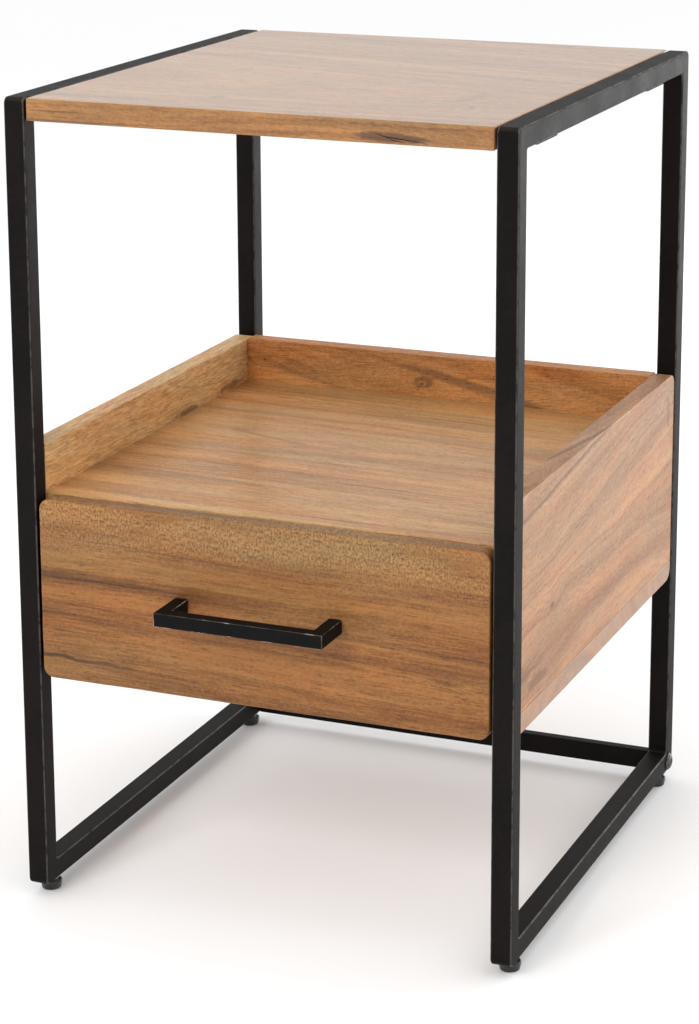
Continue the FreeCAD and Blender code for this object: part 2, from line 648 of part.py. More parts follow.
def carcass_dowels():
    """Dowels that join the sides to the bottom board, the tray floor and the back."""
    pins = []

    def pin(x, y, z, points_to):
        thing = doc.addObject("Part::Cylinder", "dowel_%d" % len(pins))
        thing.setExpression("Radius", "Size.dowel_radius")
        thing.setExpression("Height", "Size.dowel_length")
        turn = FreeCAD.Rotation(Vector(0, 0, 1), Vector(*points_to))
        thing.Placement = FreeCAD.Placement(Vector(), turn)
        pins.append(place(thing, x, y, z))

    for _, side in SIDES:
        for y in BASE_DOWELS:
            pin("%d * %s" % (side, SIDE_MIDDLE), y, "%s - Size.dowel_short_end" % BOARD_TOP, (0, 0, 1))
        start = "%d * (%s + Size.dowel_short_end)" % (side, SIDE_INNER)
        for y in SHELF_DOWELS:
            pin(start, y, SHELF_MIDDLE, (-side, 0, 0))
        for z in BACK_DOWELS:
            pin(start, BACK_MIDDLE, z, (-side, 0, 0))
    group("carcass_dowels", pins)


# ---------------------------------------------------------------- drawer
HANDLE_HOLES = [("%d * %s" % (side, HANDLE_LEG), "Size.handle_level") for _, side in SIDES]
FRONT_HOLES = [
    ("%d * Size.front_screw_place" % side, "Size.handle_level + %d * Size.front_screw_spread" % level)
    for _, side in SIDES
    for level in (-1, 1)
]


def drawer_front():
    half = "(%s - Size.front_gap)" % INSIDE
    body = part(new_body("drawer_front", "0", BOX_FRONT), "drawer_front")
    curve = "Size.front_corner"
    x0, x1, z0, z1 = "-" + half, half, "Size.front_base", "Size.front_top"
    corners = [
        ("%s + %s" % (x0, curve), z0),
        ("%s - %s" % (x1, curve), z0),
        (x1, "%s + %s" % (z0, curve)),
        (x1, "%s - %s" % (z1, curve)),
        ("%s - %s" % (x1, curve), z1),
        ("%s + %s" % (x0, curve), z1),
        (x0, "%s - %s" % (z1, curve)),
        (x0, "%s + %s" % (z0, curve)),
    ]
    shape = outline(sketch_on(body, "XZ_Plane"), corners, {1: curve, 3: curve, 5: curve, 7: curve})
    pad(body, shape, "Size.front_thickness")
    face = -number("Size.front_thickness")
    round_edges(body, "Size.wood_round", lambda edge: edge.BoundBox.YMax < face + NEAR)
    low = ("0", BOX_FRONT, "0")
    through = "Size.front_thickness * 2"
    bore_back(body, low, BOX_FRONT, HANDLE_HOLES, "Size.handle_screw_shank + Size.dowel_play", through, -1)
    depth = "Size.front_screw_length - Size.box_wall + Size.dowel_spare"
    bore_back(body, low, BOX_FRONT, FRONT_HOLES, "Size.front_screw_shank + Size.dowel_play", depth, -1)


def drawer_box():
    """Two sides, an inner front, a back and a panel that sits in grooves all round."""
    inner_face = "(%s + Size.box_wall)" % BOX_FRONT
    back_face = "(%s - Size.box_wall)" % BOX_REAR
    groove_low = "(%s - Size.groove_play / 2)" % FLOOR_BASE
    groove_tall = "Size.floor_thickness + Size.groove_play"
    groove_deep = "(Size.floor_tongue + Size.groove_play)"
    soften = "Size.wood_round / 4"

    for side_name, side in SIDES:
        x0, x1 = (BOX_INNER, BOX_SIDE) if side > 0 else ("(-%s)" % BOX_SIDE, "(-%s)" % BOX_INNER)
        low = (x0, BOX_FRONT, "Size.box_base")
        high = (x1, BOX_REAR, BOX_TOP)
        name = "drawer_%s_side" % side_name
        wall = board(name, low, high, soften, lambda edge: direction(edge) == "y")
        sketch = sketch_on(wall, "YZ_Plane", "0" if side > 0 else "Size.box_wall")
        z0 = "%s - Size.box_base" % groove_low
        start = less("Size.box_wall", groove_deep)
        stop = "Size.box_length - Size.box_wall + " + groove_deep
        rectangle(sketch, (start, z0), (stop, "%s + %s" % (z0, groove_tall)))
        pocket(wall, sketch, groove_deep, reverse=side > 0)
        spots = [("%s + Size.slide_screw_%s" % (SLIDE_FRONT, e), "Size.slide_level") for e, _ in ENDS]
        depth = "Size.slide_screw_length - Size.slide_wall + Size.dowel_spare"
        face = "%d * %s" % (side, BOX_SIDE)
        bore_across(wall, low, face, spots, "Size.slide_screw_shank + Size.dowel_play", depth, -side)

    ends = [("drawer_inner_front", BOX_FRONT, inner_face, 1), ("drawer_back", back_face, BOX_REAR, -1)]
    for name, y0, y1, inwards in ends:
        low = ("(-%s)" % BOX_INNER, y0, "Size.box_base")
        wall = board(name, low, (BOX_INNER, y1, BOX_TOP), soften, lambda edge: direction(edge) == "x")
        sketch = sketch_on(wall, "XZ_Plane", "-Size.box_wall" if inwards > 0 else "0")
        z0 = "%s - Size.box_base" % groove_low
        rectangle(sketch, ("0", z0), ("2 * %s" % BOX_INNER, "%s + %s" % (z0, groove_tall)))
        pocket(wall, sketch, groove_deep, reverse=inwards > 0)
        if inwards > 0:
            through = "Size.box_wall * 2"
            bore_back(wall, low, y1, HANDLE_HOLES, "Size.handle_screw_shank + Size.dowel_play", through, -1)
            bore_back(wall, low, y1, FRONT_HOLES, "Size.front_screw_shank + Size.dowel_play", through, -1)

    tongue = "Size.floor_tongue"
    low = ("-(%s + %s)" % (BOX_INNER, tongue), "%s - %s" % (inner_face, tongue), FLOOR_BASE)
    upper = FLOOR_BASE + " + Size.floor_thickness"
    high = ("(%s + %s)" % (BOX_INNER, tongue), "%s + %s" % (back_face, tongue), upper)
    board("drawer_bottom", low, high)

    front_screws = []
    for i, (x, z) in enumerate(FRONT_HOLES):
        front_screws.append(screw("front_screw_%d" % i, "front_screw", (x, inner_face, z), (0, -1, 0)))
    group("drawer_front_screws", front_screws)
    handle_screws = []
    for i, (x, z) in enumerate(HANDLE_HOLES):
        handle_screws.append(screw("handle_screw_%d" % i, "handle_screw", (x, inner_face, z), (0, -1, 0)))
    group("handle_screws", handle_screws)


def handle():
    """A U-shaped pull of square bar: one grip and two legs that meet the drawer front."""
    body = part(new_body("drawer_handle", "0", FRONT, "Size.handle_level"), "drawer_handle")
    wide, bar, reach = "(Size.handle_width / 2)", "Size.handle_bar", "Size.handle_reach"
    corners = [
        ("-" + wide, "-" + reach),
        (wide, "-" + reach),
        (wide, "0"),
        ("%s - %s" % (wide, bar), "0"),
        ("%s - %s" % (wide, bar), "%s - %s" % (bar, reach)),
        ("%s - %s" % (bar, wide), "%s - %s" % (bar, reach)),
        ("%s - %s" % (bar, wide), "0"),
        ("-" + wide, "0"),
    ]
    pad(body, outline(sketch_on(body, "XY_Plane"), corners), bar, both_ways=True)
    round_edges(body, "Size.handle_round", lambda edge: edge.BoundBox.YMin < -NEAR)
    sketch = sketch_on(body, "XZ_Plane")
    circles(sketch, [(x, "0") for x, _ in HANDLE_HOLES], "Size.handle_screw_shank + Size.dowel_play")
    pocket(body, sketch, "Size.handle_tap", reverse=True)


# ---------------------------------------------------------------- telescopic slides
def slide_member(name, side, corners):
    """A drawn sheet-steel profile. Corners are (depth from the side panel, height) pairs."""
    body = part(new_body(name, "%d * %s" % (side, SIDE_INNER), SLIDE_FRONT, "Size.slide_level"), name)
    turned_over = [("%d * (%s)" % (-side, depth), height) for depth, height in corners]
    pad(body, outline(sketch_on(body, "XZ_Plane"), turned_over), "Size.slide_length", reverse=True)
    return body


def drill_slide(body, side, sheet_face):
    """Screw holes through a member's web at its two fixing points."""
    spots = [("Size.slide_screw_" + end, "0") for end, _ in ENDS]
    sketch = sketch_on(body, "YZ_Plane", "%d * (%s)" % (-side, sheet_face))
    circles(sketch, spots, "Size.slide_screw_shank + Size.dowel_play")
    pocket(body, sketch, "Size.slide_wall * 4", both_ways=True)


def slides():
    top, lip, reach, wall = "Size.outer_half", "Size.outer_lip", "Size.outer_reach", "Size.slide_wall"
    upper = [
        (wall, "%s - %s" % (top, wall)),
        ("%s - %s" % (reach, wall), "%s - %s" % (top, wall)),
        ("%s - %s" % (reach, wall), "%s - %s" % (top, lip)),
        (reach, "%s - %s" % (top, lip)),
        (reach, top),
        ("0", top),
    ]
    outer_shape = upper + [(depth, "-(%s)" % height) for depth, height in reversed(upper)]

    high, near, far, web, sheet = (
        "Size.middle_half",
        "Size.middle_start",
        "Size.middle_end",
        "Size.middle_web",
        "Size.middle_wall",
    )
    upper = [
        ("%s + %s" % (web, sheet), "%s - %s" % (high, sheet)),
        (far, "%s - %s" % (high, sheet)),
        (far, high),
        (near, high),
        (near, "%s - %s" % (high, sheet)),
        (web, "%s - %s" % (high, sheet)),
    ]
    middle_shape = upper + [(depth, "-(%s)" % height) for depth, height in reversed(upper)]

    crest, start, width = "Size.inner_half", "Size.inner_start", "Size.slide_width"
    upper = [
        (width, crest),
        (start, crest),
        (start, "%s - %s" % (crest, wall)),
        ("%s - %s" % (width, wall), "%s - %s" % (crest, wall)),
    ]
    inner_shape = upper + [(depth, "-(%s)" % height) for depth, height in reversed(upper)]

    outer_screws, inner_screws = [], []
    for side_name, side in SIDES:
        outer = slide_member(side_name + "_slide_outer", side, outer_shape)
        drill_slide(outer, side, "Size.slide_wall / 2")
        slide_member(side_name + "_slide_middle", side, middle_shape)
        inner = slide_member(side_name + "_slide_inner", side, inner_shape)
        drill_slide(inner, side, "Size.slide_width - Size.slide_wall / 2")
        for end, _ in ENDS:
            y = "%s + Size.slide_screw_%s" % (SLIDE_FRONT, end)
            tag = "%s_%s" % (side_name, end)
            point = ("%d * (%s - Size.slide_wall)" % (side, SIDE_INNER), y, "Size.slide_level")
            outer_screws.append(screw("cabinet_screw_" + tag, "slide_screw", point, (side, 0, 0)))
            point = ("%d * (%s + Size.slide_wall)" % (side, BOX_SIDE), y, "Size.slide_level")
            inner_screws.append(screw("box_screw_" + tag, "slide_screw", point, (-side, 0, 0)))
    group("outer_slide_screws", outer_screws)
    group("inner_slide_screws", inner_screws)


# ---------------------------------------------------------------- levelling feet
def feet():
    bore = "(Size.stem_radius + Size.dowel_play)"
    base, wide, edge, tall = (
        "Size.foot_base_radius",
        "Size.foot_top_radius",
        "Size.foot_chamfer",
        "Size.foot_thickness",
    )
    pad_shape = [
        ("0", "0"),
        ("%s - %s" % (base, edge), "0"),
        (base, edge),
        (wide, "%s - %s" % (tall, edge)),
        ("%s - %s" % (wide, edge), tall),
        (bore, tall),
        (bore, "Size.foot_socket"),
        ("0", "Size.foot_socket"),
    ]
    stem_shape = [
        ("0", "Size.foot_socket"),
        ("Size.stem_radius", "Size.foot_socket"),
        ("Size.stem_radius", tall),
        ("Size.collar_radius", tall),
        ("Size.collar_radius", "Size.collar_top"),
        ("Size.stem_radius", "Size.collar_top"),
        ("Size.stem_radius", "Size.stem_top"),
        ("0", "Size.stem_top"),
    ]
    insert_shape = [
        (bore, "Size.frame_base - Size.insert_flange_thickness"),
        ("Size.insert_flange", "Size.frame_base - Size.insert_flange_thickness"),
        ("Size.insert_flange", "Size.frame_base"),
        ("Size.insert_radius", "Size.frame_base"),
        ("Size.insert_radius", "Size.insert_top"),
        (bore, "Size.insert_top"),
    ]
    for side_name, side in SIDES:
        for end_name, end in ENDS:
            x = "%d * %s" % (side, RAIL_MIDDLE)
            y = "%s + %d * Size.foot_place" % (MIDDLE, end)
            corner = "%s_%s" % (side_name, end_name)
            turned(corner + "_foot_pad", x, y, pad_shape)
            turned(corner + "_foot_stem", x, y, stem_shape)
            turned(corner + "_foot_insert", x, y, insert_shape)


def check_and_write():
    """Stops on a failed object or an empty or invalid sub-part, then writes every sub-part."""
    doc.recompute()
    for thing in doc.Objects:
        if any(word in state for state in thing.State for word in ("Invalid", "Error")):
            raise RuntimeError("%s failed: %s" % (thing.Name, thing.State))
    for thing in parts:
        if thing.Shape.isNull() or not thing.Shape.isValid() or not thing.Shape.Solids:
            raise RuntimeError("%s has no valid solid" % thing.Label)
    os.makedirs("parts", exist_ok=True)
    for thing in parts:
        thing.Shape.exportStep("parts/%s.step" % thing.Label)
        print("%-26s %2d solids %10.0f mm3" % (thing.Label, len(thing.Shape.Solids), thing.Shape.Volume))
    print(len(parts), "sub-parts")


side_frames()
rear_cross_bar()
top_tabs()
base_tabs()
table_top()
carcass()
carcass_dowels()
drawer_front()
drawer_box()
handle()
slides()
feet()
check_and_write()
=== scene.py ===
import json
import math

import bmesh
import bpy
from mathutils import Matrix, Vector, noise


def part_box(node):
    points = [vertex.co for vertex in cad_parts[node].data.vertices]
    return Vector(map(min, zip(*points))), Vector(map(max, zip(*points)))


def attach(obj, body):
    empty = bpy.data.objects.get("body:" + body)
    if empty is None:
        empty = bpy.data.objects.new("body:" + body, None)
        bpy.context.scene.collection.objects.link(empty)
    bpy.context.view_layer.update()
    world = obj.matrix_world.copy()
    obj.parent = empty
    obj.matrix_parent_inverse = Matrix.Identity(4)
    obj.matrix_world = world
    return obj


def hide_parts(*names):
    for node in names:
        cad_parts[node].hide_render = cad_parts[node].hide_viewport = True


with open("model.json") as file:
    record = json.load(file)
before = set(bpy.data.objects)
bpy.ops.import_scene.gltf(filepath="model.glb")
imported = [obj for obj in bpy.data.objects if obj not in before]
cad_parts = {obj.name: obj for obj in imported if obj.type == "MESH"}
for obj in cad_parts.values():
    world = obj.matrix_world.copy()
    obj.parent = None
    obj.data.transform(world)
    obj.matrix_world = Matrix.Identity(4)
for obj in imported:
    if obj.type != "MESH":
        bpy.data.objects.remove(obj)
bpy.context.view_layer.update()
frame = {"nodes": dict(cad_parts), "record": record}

# A side table with one drawer and an open tray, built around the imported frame. Metres, +Z up,
# the drawer opens towards -Y. Positions come from the frame's own nodes, and millimetre sizes
# are written as a number times MM. Inside the materials, places and spans are in millimetres.

MM = 0.001
SIDES = [("left", -1), ("right", 1)]
ENDS = ["front", "rear"]
slot_of = {row["node"]: row["material_slot"] for row in frame["record"]["subparts"]}
body_of = {n: body for body, members in frame["record"]["behaviour"]["bodies"].items() for n in members}


# ------------------------------------------------------------------ camera, floor and light
def camera():
    """The camera stands to the right of the table and a little above it."""
    place = (0.773, -1.8767, 0.8918)
    yaw, pitch, roll = math.radians(22.52), math.radians(13.63), math.radians(-0.24)
    data = bpy.data.cameras.new("camera")
    data.lens = 98.5
    data.shift_y = -0.165
    data.clip_end = 60
    made = bpy.data.objects.new("camera", data)
    turn = Matrix.Rotation(yaw, 4, "Z") @ Matrix.Rotation(math.pi / 2 - pitch, 4, "X")
    turn = turn @ Matrix.Rotation(roll, 4, "Z")
    made.matrix_world = Matrix.Translation(place) @ turn
    bpy.context.scene.collection.objects.link(made)
    bpy.context.scene.camera = made


def soft_light(name, place, aim, width, height, power, mirrored=False):
    """A softbox at place, turned to aim, that the camera doesn't see. Only a mirrored one shows
    in glossy surfaces."""
    data = bpy.data.lights.new(name, "AREA")
    data.shape = "RECTANGLE"
    data.size = width
    data.size_y = height
    data.energy = power
    made = bpy.data.objects.new(name, data)
    way = Vector(aim) - Vector(place)
    made.matrix_world = Matrix.Translation(place) @ way.to_track_quat("-Z", "Y").to_matrix().to_4x4()
    made.visible_camera = False
    made.visible_glossy = mirrored
    bpy.context.scene.collection.objects.link(made)


def studio():
    """A white surround, four softboxes and a pale floor."""
    bpy.context.scene.view_settings.view_transform = "Standard"
    world = bpy.data.worlds.new("studio")
    world.use_nodes = True
    backdrop = world.node_tree.nodes["Background"]
    backdrop.inputs["Color"].default_value = (1.0, 1.0, 1.0, 1.0)
    backdrop.inputs["Strength"].default_value = 1.04
    bpy.context.scene.world = world

    middle = (0.0, 0.0, 0.3)
    soft_light("overhead_softbox", (0.5, 0.3, 2.8), middle, 2.4, 2.4, 8)
    soft_light("right_softbox", (2.5, 0.8, 1.2), middle, 1.8, 1.8, 12)
    soft_light("front_softbox", (-0.5, -2.4, 1.9), middle, 1.0, 0.8, 30)
    # This one stands lower than the table top, which so can't mirror it, but the tubes' sides do.
    soft_light("low_rear_softbox", (1.1, 2.2, 0.33), middle, 2.6, 0.5, 20, mirrored=True)

    reach = 30.0
    data = bpy.data.meshes.new("floor")
    corners = [(-reach, -reach, 0), (reach, -reach, 0), (reach, reach, 0), (-reach, reach, 0)]
    data.from_pydata(corners, [], [(0, 1, 2, 3)])
    floor = bpy.data.objects.new("floor", data)
    bpy.context.scene.collection.objects.link(floor)
    floor.data.materials.append(pale_floor())


# ------------------------------------------------------------------ material helpers
class Tree:
    """A material's node tree, with a short call for each kind of node that is used here."""

    def __init__(self, name):
        self.material = bpy.data.materials.new(name)
        self.material.use_nodes = True
        self.nodes = self.material.node_tree.nodes
        self.links = self.material.node_tree.links
        self.nodes.clear()

    def add(self, kind, inputs=None, **settings):
        made = self.nodes.new("ShaderNode" + kind)
        for key, value in settings.items():
            setattr(made, key, value)
        for key, value in (inputs or {}).items():
            if isinstance(value, bpy.types.NodeSocket):
                self.links.new(value, made.inputs[key])
            else:
                made.inputs[key].default_value = value
        return made

    def math(self, operation, a, b=0.0):
        return self.add("Math", {0: a, 1: b}, operation=operation).outputs[0]

    def total(self, *values):
        """The sum of all the values."""
        result = values[0]
        for value in values[1:]:
            result = self.math("ADD", result, value)
        return result

    def scaled(self, value, factor, offset=0.0):
        """value * factor + offset."""
        made = self.add("Math", {0: value, 1: factor, 2: offset}, operation="MULTIPLY_ADD")
        return made.outputs[0]

    def fade(self, value, start, stop, low=0.0, high=1.0):
        """low before start, high after stop, and a smooth turn between them."""
        inputs = {"Value": value, "From Min": start, "From Max": stop, "To Min": low, "To Max": high}
        return self.add("MapRange", inputs, interpolation_type="SMOOTHSTEP").outputs[0]

    def blend(self, share, a, b, mode="MIX"):
        """Colour a with the share of colour b mixed in."""
        made = self.add("Mix", {0: share, 6: a, 7: b}, data_type="RGBA", blend_type=mode)
        return made.outputs[2]

    def vector(self, x, y, z):
        return self.add("CombineXYZ", {0: x, 1: y, 2: z}).outputs[0]

    def millimetres(self):
        """The point in the object's own frame, in millimetres, as three numbers."""
        place = self.add("TexCoord").outputs["Object"]
        scaled = self.add("VectorMath", {0: place, "Scale": 1 / MM}, operation="SCALE").outputs[0]
        return list(self.add("SeparateXYZ", {0: scaled}).outputs)

    def grain(self, x, y, z, spans, seed=0.0, detail=2.0, rough=0.5, colour=False):
        """Noise whose features are about spans millimetres long each way. Centred on 0.5."""
        stretch = tuple(1 / span for span in spans)
        offset = (seed, seed * 1.7, seed * 2.3)
        shifted = self.add("Mapping", {0: self.vector(x, y, z), 1: offset, 3: stretch})
        inputs = {"Vector": shifted.outputs[0], "Scale": 1.0, "Detail": detail, "Roughness": rough}
        made = self.add("TexNoise", inputs)
        return made.outputs["Color" if colour else "Fac"]

    def bump(self, height, strength, distance):
        inputs = {"Height": height, "Strength": strength, "Distance": distance}
        return self.add("Bump", inputs).outputs[0]

    def edges(self, normal):
        """1 along arrises, where the surface faces none of the table's three main ways."""
        flat, turned = 0.975, 0.86
        sizes = self.add("VectorMath", {0: normal}, operation="ABSOLUTE").outputs[0]
        x, y, z = self.add("SeparateXYZ", {0: sizes}).outputs
        most = self.math("MAXIMUM", self.math("MAXIMUM", x, y), z)
        return self.fade(most, flat, turned)

    def shader(self, **inputs):
        """The Principled shader and the output. Underscores in names stand for spaces."""
        named = {key.replace("_", " "): value for key, value in inputs.items()}
        made = self.add("BsdfPrincipled", named)
        self.add("OutputMaterial", {"Surface": made.outputs[0]})
        return self.material


def rgb(red, green, blue):
    return (red, green, blue, 1.0)


# ------------------------------------------------------------------ materials
def pale_floor():
    tree = Tree("pale_floor")
    x, y, z = tree.millimetres()
    cloud = tree.grain(x, y, z, (900, 900, 900), detail=1.0)
    colour = tree.blend(cloud, rgb(0.92, 0.92, 0.92), rgb(0.94, 0.94, 0.94))
    return tree.shader(Base_Color=colour, Roughness=0.75, Specular_IOR_Level=0.2)


def coated_steel(name, black, edge_wear_and_highlight, edge_wear_and_highlight_share, chips, welded=False):
    """Satin black coating: a fine orange peel, soft cloudy tone and lighter edges, partly rubbed paint
    and partly a painted highlight. black is the coating, and the colour after it is the lighter edge,
    rubbed paint with a painted highlight, mixed in by the share that follows it. Bare metal shows in
    spots along the edges by the share chips. A welded frame's edges aren't lightened across its corners,
    only along its tubes."""
    bare = rgb(0.40, 0.38, 0.35)
    cloud_lift = 2.2
    edge_radius = 0.9 * MM
    tree = Tree(name)
    x, y, z = tree.millimetres()
    cloud = tree.grain(x, y, z, (40, 40, 40), detail=3.0)
    mottle = tree.grain(x, y, z, (4.5, 4.5, 4.5), seed=8.0, detail=4.0, rough=0.65)
    peel = tree.grain(x, y, z, (0.9, 0.9, 0.9), seed=3.0, detail=2.0)
    wear_and_highlight_patches = tree.grain(x, y, z, (8, 8, 8), seed=5.0, detail=4.0, rough=0.65)
    soft = tree.add("Bevel", {"Radius": edge_radius}, samples=6).outputs[0]
    arris = tree.edges(soft)
    if welded:
        sideways = tree.math("ABSOLUTE", tree.add("SeparateXYZ", {0: soft}).outputs[0])
        arris = tree.math("MULTIPLY", arris, tree.fade(sideways, 0.1, 0.3, 0.15, 1.0))
    # Lighter edges along the arrises: partly rubbed paint, partly a painted highlight.
    edge = tree.math("MULTIPLY", arris, tree.fade(wear_and_highlight_patches, 0.34, 0.56, 0.25, 1.0))
    chip = tree.math("MULTIPLY", arris, tree.fade(wear_and_highlight_patches, 0.53, 0.59, 0.0, chips))
    patches = tree.total(tree.scaled(cloud, 0.5), tree.scaled(mottle, 0.5))
    lighter = rgb(*(cloud_lift * part for part in black[:3]))
    tone = tree.blend(tree.fade(patches, 0.38, 0.66), black, lighter)
    # Mixes in the lighter edge colour: rubbed paint with a painted highlight.
    tone = tree.blend(tree.scaled(edge, edge_wear_and_highlight_share), tone, edge_wear_and_highlight)
    tone = tree.blend(chip, tone, bare)
    gloss = tree.total(tree.scaled(patches, 0.34, 0.42), tree.scaled(edge, -0.2))
    return tree.shader(
        Base_Color=tone,
        Roughness=gloss,
        Specular_IOR_Level=0.11,
        Normal=tree.bump(tree.total(peel, tree.scaled(mottle, 0.8)), 0.3, 0.06 * MM),
    )


def bare_metal(name, colour, darker, rough, lines):
    """Plated or burnished steel with fine drawing lines along the given spans."""
    tree = Tree(name)
    x, y, z = tree.millimetres()
    drawn = tree.grain(x, y, z, lines, detail=3.0, rough=0.6)
    cloud = tree.grain(x, y, z, (11, 11, 11), seed=2.0, detail=3.0)
    mixed = tree.total(tree.scaled(drawn, 0.4), tree.scaled(cloud, 0.6))
    tone = tree.blend(tree.fade(mixed, 0.35, 0.65), darker, colour)
    gloss = tree.scaled(drawn, 0.22, rough - 0.1)
    return tree.shader(
        Base_Color=tone, Metallic=1.0, Roughness=gloss, Normal=tree.bump(drawn, 0.2, 0.03 * MM)
    )


def moulded_plastic():
    """Black plastic, greyer where it is scuffed."""
    fresh, scuffed = rgb(0.012, 0.012, 0.012), rgb(0.05, 0.048, 0.046)
    tree = Tree("moulded_plastic")
    x, y, z = tree.millimetres()
    fine = tree.grain(x, y, z, (0.5, 0.5, 0.5), detail=2.0)
    scuff = tree.grain(x, y, z, (3, 3, 1.2), seed=4.0, detail=4.0)
    tone = tree.blend(tree.fade(scuff, 0.45, 0.75), fresh, scuffed)
    gloss = tree.scaled(scuff, 0.25, 0.22)
    return tree.shader(Base_Color=tone, Roughness=gloss, Normal=tree.bump(fine, 0.3, 0.04 * MM))


class Wood:
    """Solid acacia, seen as one block of timber that the board was cut from.

    u runs along the grain, v across the board's wide face and w through it, in millimetres in
    the table's frame. axes says which of x, y and z they are. The rings are circles round a
    heart line at heart, given as (v, w), which leans by lean and wanders, so that the wide face
    shows long arches and the ends show arcs. tones are the light, deep and darkest wood."""

    def __init__(self, name, axes, heart, lean, tones, seed, wander=9.0, contrast=1.0):
        self.tree = tree = Tree(name)
        point = dict(zip("xyz", tree.millimetres()))
        self.u, self.v, self.w = (point[axis] for axis in axes)
        self.seed, self.contrast = seed, contrast
        self.light, self.deep, self.dark = tones
        drift = tree.grain(self.u, self.v, self.w, (260, 70, 70), seed, 2.0, 0.45, colour=True)
        sideways, deep, _ = tree.add("SeparateXYZ", {0: drift}).outputs
        self.across = tree.total(
            tree.scaled(self.v, 1.0, -heart[0]),
            tree.scaled(sideways, wander, -wander / 2),
            tree.scaled(self.u, lean[0]),
        )
        self.through = tree.total(
            tree.scaled(self.w, 1.0, -heart[1]),
            tree.scaled(deep, wander, -wander / 2),
            tree.scaled(self.u, lean[1]),
        )
        self.pull = []
        self.shade = []
        self.figured = None

    def knot(self, u, v, size, core=0.9, flat_u=0.55, flat_v=1.0):
        """A small knot: the rings bend round it and its middle is dark by the share core. The
        flat values below 1 make it longer along u or v."""
        tree = self.tree
        away_u = tree.scaled(self.u, flat_u, -flat_u * u)
        away_v = tree.scaled(self.v, flat_v, -flat_v * v)
        squares = tree.total(tree.math("MULTIPLY", away_u, away_u), tree.math("MULTIPLY", away_v, away_v))
        distance = tree.math("SQRT", squares)
        self.pull.append(tree.fade(distance, 6 * size, 0.0, 0.0, 2.2 * size))
        rough = tree.grain(self.u, self.v, self.w, (1.5, 1.0, 1.0), self.seed + 9.0, 3.0)
        ragged = tree.total(distance, tree.scaled(rough, size, -size / 2))
        self.shade.append(tree.fade(ragged, size, 0.35 * size, 0.0, core))
        self.shade.append(tree.fade(distance, 3.2 * size, size * 0.6, 0.0, 0.28 * core))

    def streak(self, start, stop, width, strength, wave=0.0):
        """A dark mineral streak on the line through two (u, v) points. It begins at start and
        fades out towards stop. If stop has the lower u, it runs the other way and doesn't fade."""
        tree = self.tree
        slope = (stop[1] - start[1]) / (stop[0] - start[0])
        run = tree.fade(self.u, start[0], stop[0], 1.0, 0.0)
        wobble = tree.grain(self.u, self.v, self.w, (24, 9, 9), self.seed + 4.0, 3.0)
        line = tree.total(
            self.v,
            tree.scaled(self.u, -slope, slope * start[0] - start[1]),
            tree.scaled(wobble, 7.0 + wave, -3.5 - wave / 2),
        )
        near = tree.fade(tree.math("ABSOLUTE", line), width, 0.15 * width)
        begun = tree.fade(self.u, start[0] - 4.0, start[0] + 1.0)
        held = tree.math("MULTIPLY", near, tree.math("MULTIPLY", run, begun))
        self.shade.append(tree.scaled(held, strength))

    def stain(self, centre, reach, strength):
        """A ragged dark patch inside an ellipsoid, as bark or a filled crack leaves."""
        tree = self.tree
        rough = tree.grain(self.u, self.v, self.w, (9, 3, 2), self.seed + 14.0, 4.0, 0.7)
        squares = []
        for place, middle, half in zip((self.u, self.v, self.w), centre, reach):
            away = tree.scaled(place, 1 / half, -middle / half)
            squares.append(tree.math("MULTIPLY", away, away))
        ragged = tree.total(*squares, tree.scaled(rough, 2.6, -1.3))
        self.shade.append(tree.fade(ragged, 1.0, 0.25, 0.0, strength))

    def figure(self, low, high, gold, brown, spans, strength):
        """Curly figure that begins at v = low and is full from v = high on, with ragged bounds.
        spans are the curl's lengths along u, v and w."""
        tree = self.tree
        edge = tree.grain(self.u, self.v, self.w, (60, 22, 22), self.seed + 6.0, 2.0)
        level = tree.total(self.v, tree.scaled(edge, 26.0, -13.0))
        patchy = tree.grain(self.u, self.v, self.w, (70, 14, 14), self.seed + 13.0, 3.0)
        patches = tree.fade(patchy, 0.32, 0.55, 0.25, 1.0)
        band = tree.math("MULTIPLY", tree.fade(level, low, high), patches)
        curl = tree.grain(self.u, self.v, self.w, spans, self.seed + 7.0, 3.0, 0.65)
        self.figured = (band, curl, gold, brown, strength)

    def finish(self, rough, coat):
        """Adds up the rings, fibre, pores and marks into the material. coat is the share of a
        clear coat over the wood."""
        tree = self.tree
        open_pores = (0.60, 0.74)
        squares = tree.total(
            tree.math("MULTIPLY", self.across, self.across),
            tree.math("MULTIPLY", self.through, self.through),
        )
        radius = tree.total(tree.math("SQRT", squares), *self.pull)
        seed = self.seed

        def along_rings(long, thick, number, detail, rough_part=0.5):
            return tree.grain(self.u, radius, 0.0, (long, thick, 1.0), seed + number, detail, rough_part)

        broad = along_rings(420.0, 11.0, 1.0, 4.0, 0.55)
        rings = along_rings(300.0, 2.6, 2.0, 3.0, 0.6)
        veins = along_rings(360.0, 3.6, 3.0, 2.0)
        fibre = tree.grain(self.u, self.across, self.through, (30, 1.1, 1.1), seed + 5.0, 3.0, 0.65)
        pores = tree.grain(self.u, self.across, self.through, (8, 0.8, 0.8), seed + 8.0, 1.0)
        ripple = tree.grain(self.u, self.across, self.through, (2.4, 2.0, 2.0), seed + 10.0, 2.0, 0.6)
        shimmer = tree.grain(self.u, self.across, self.through, (70, 12, 12), seed + 11.0, 3.0)
        hue = tree.grain(self.u, self.across, self.through, (150, 24, 24), seed + 12.0, 2.0)

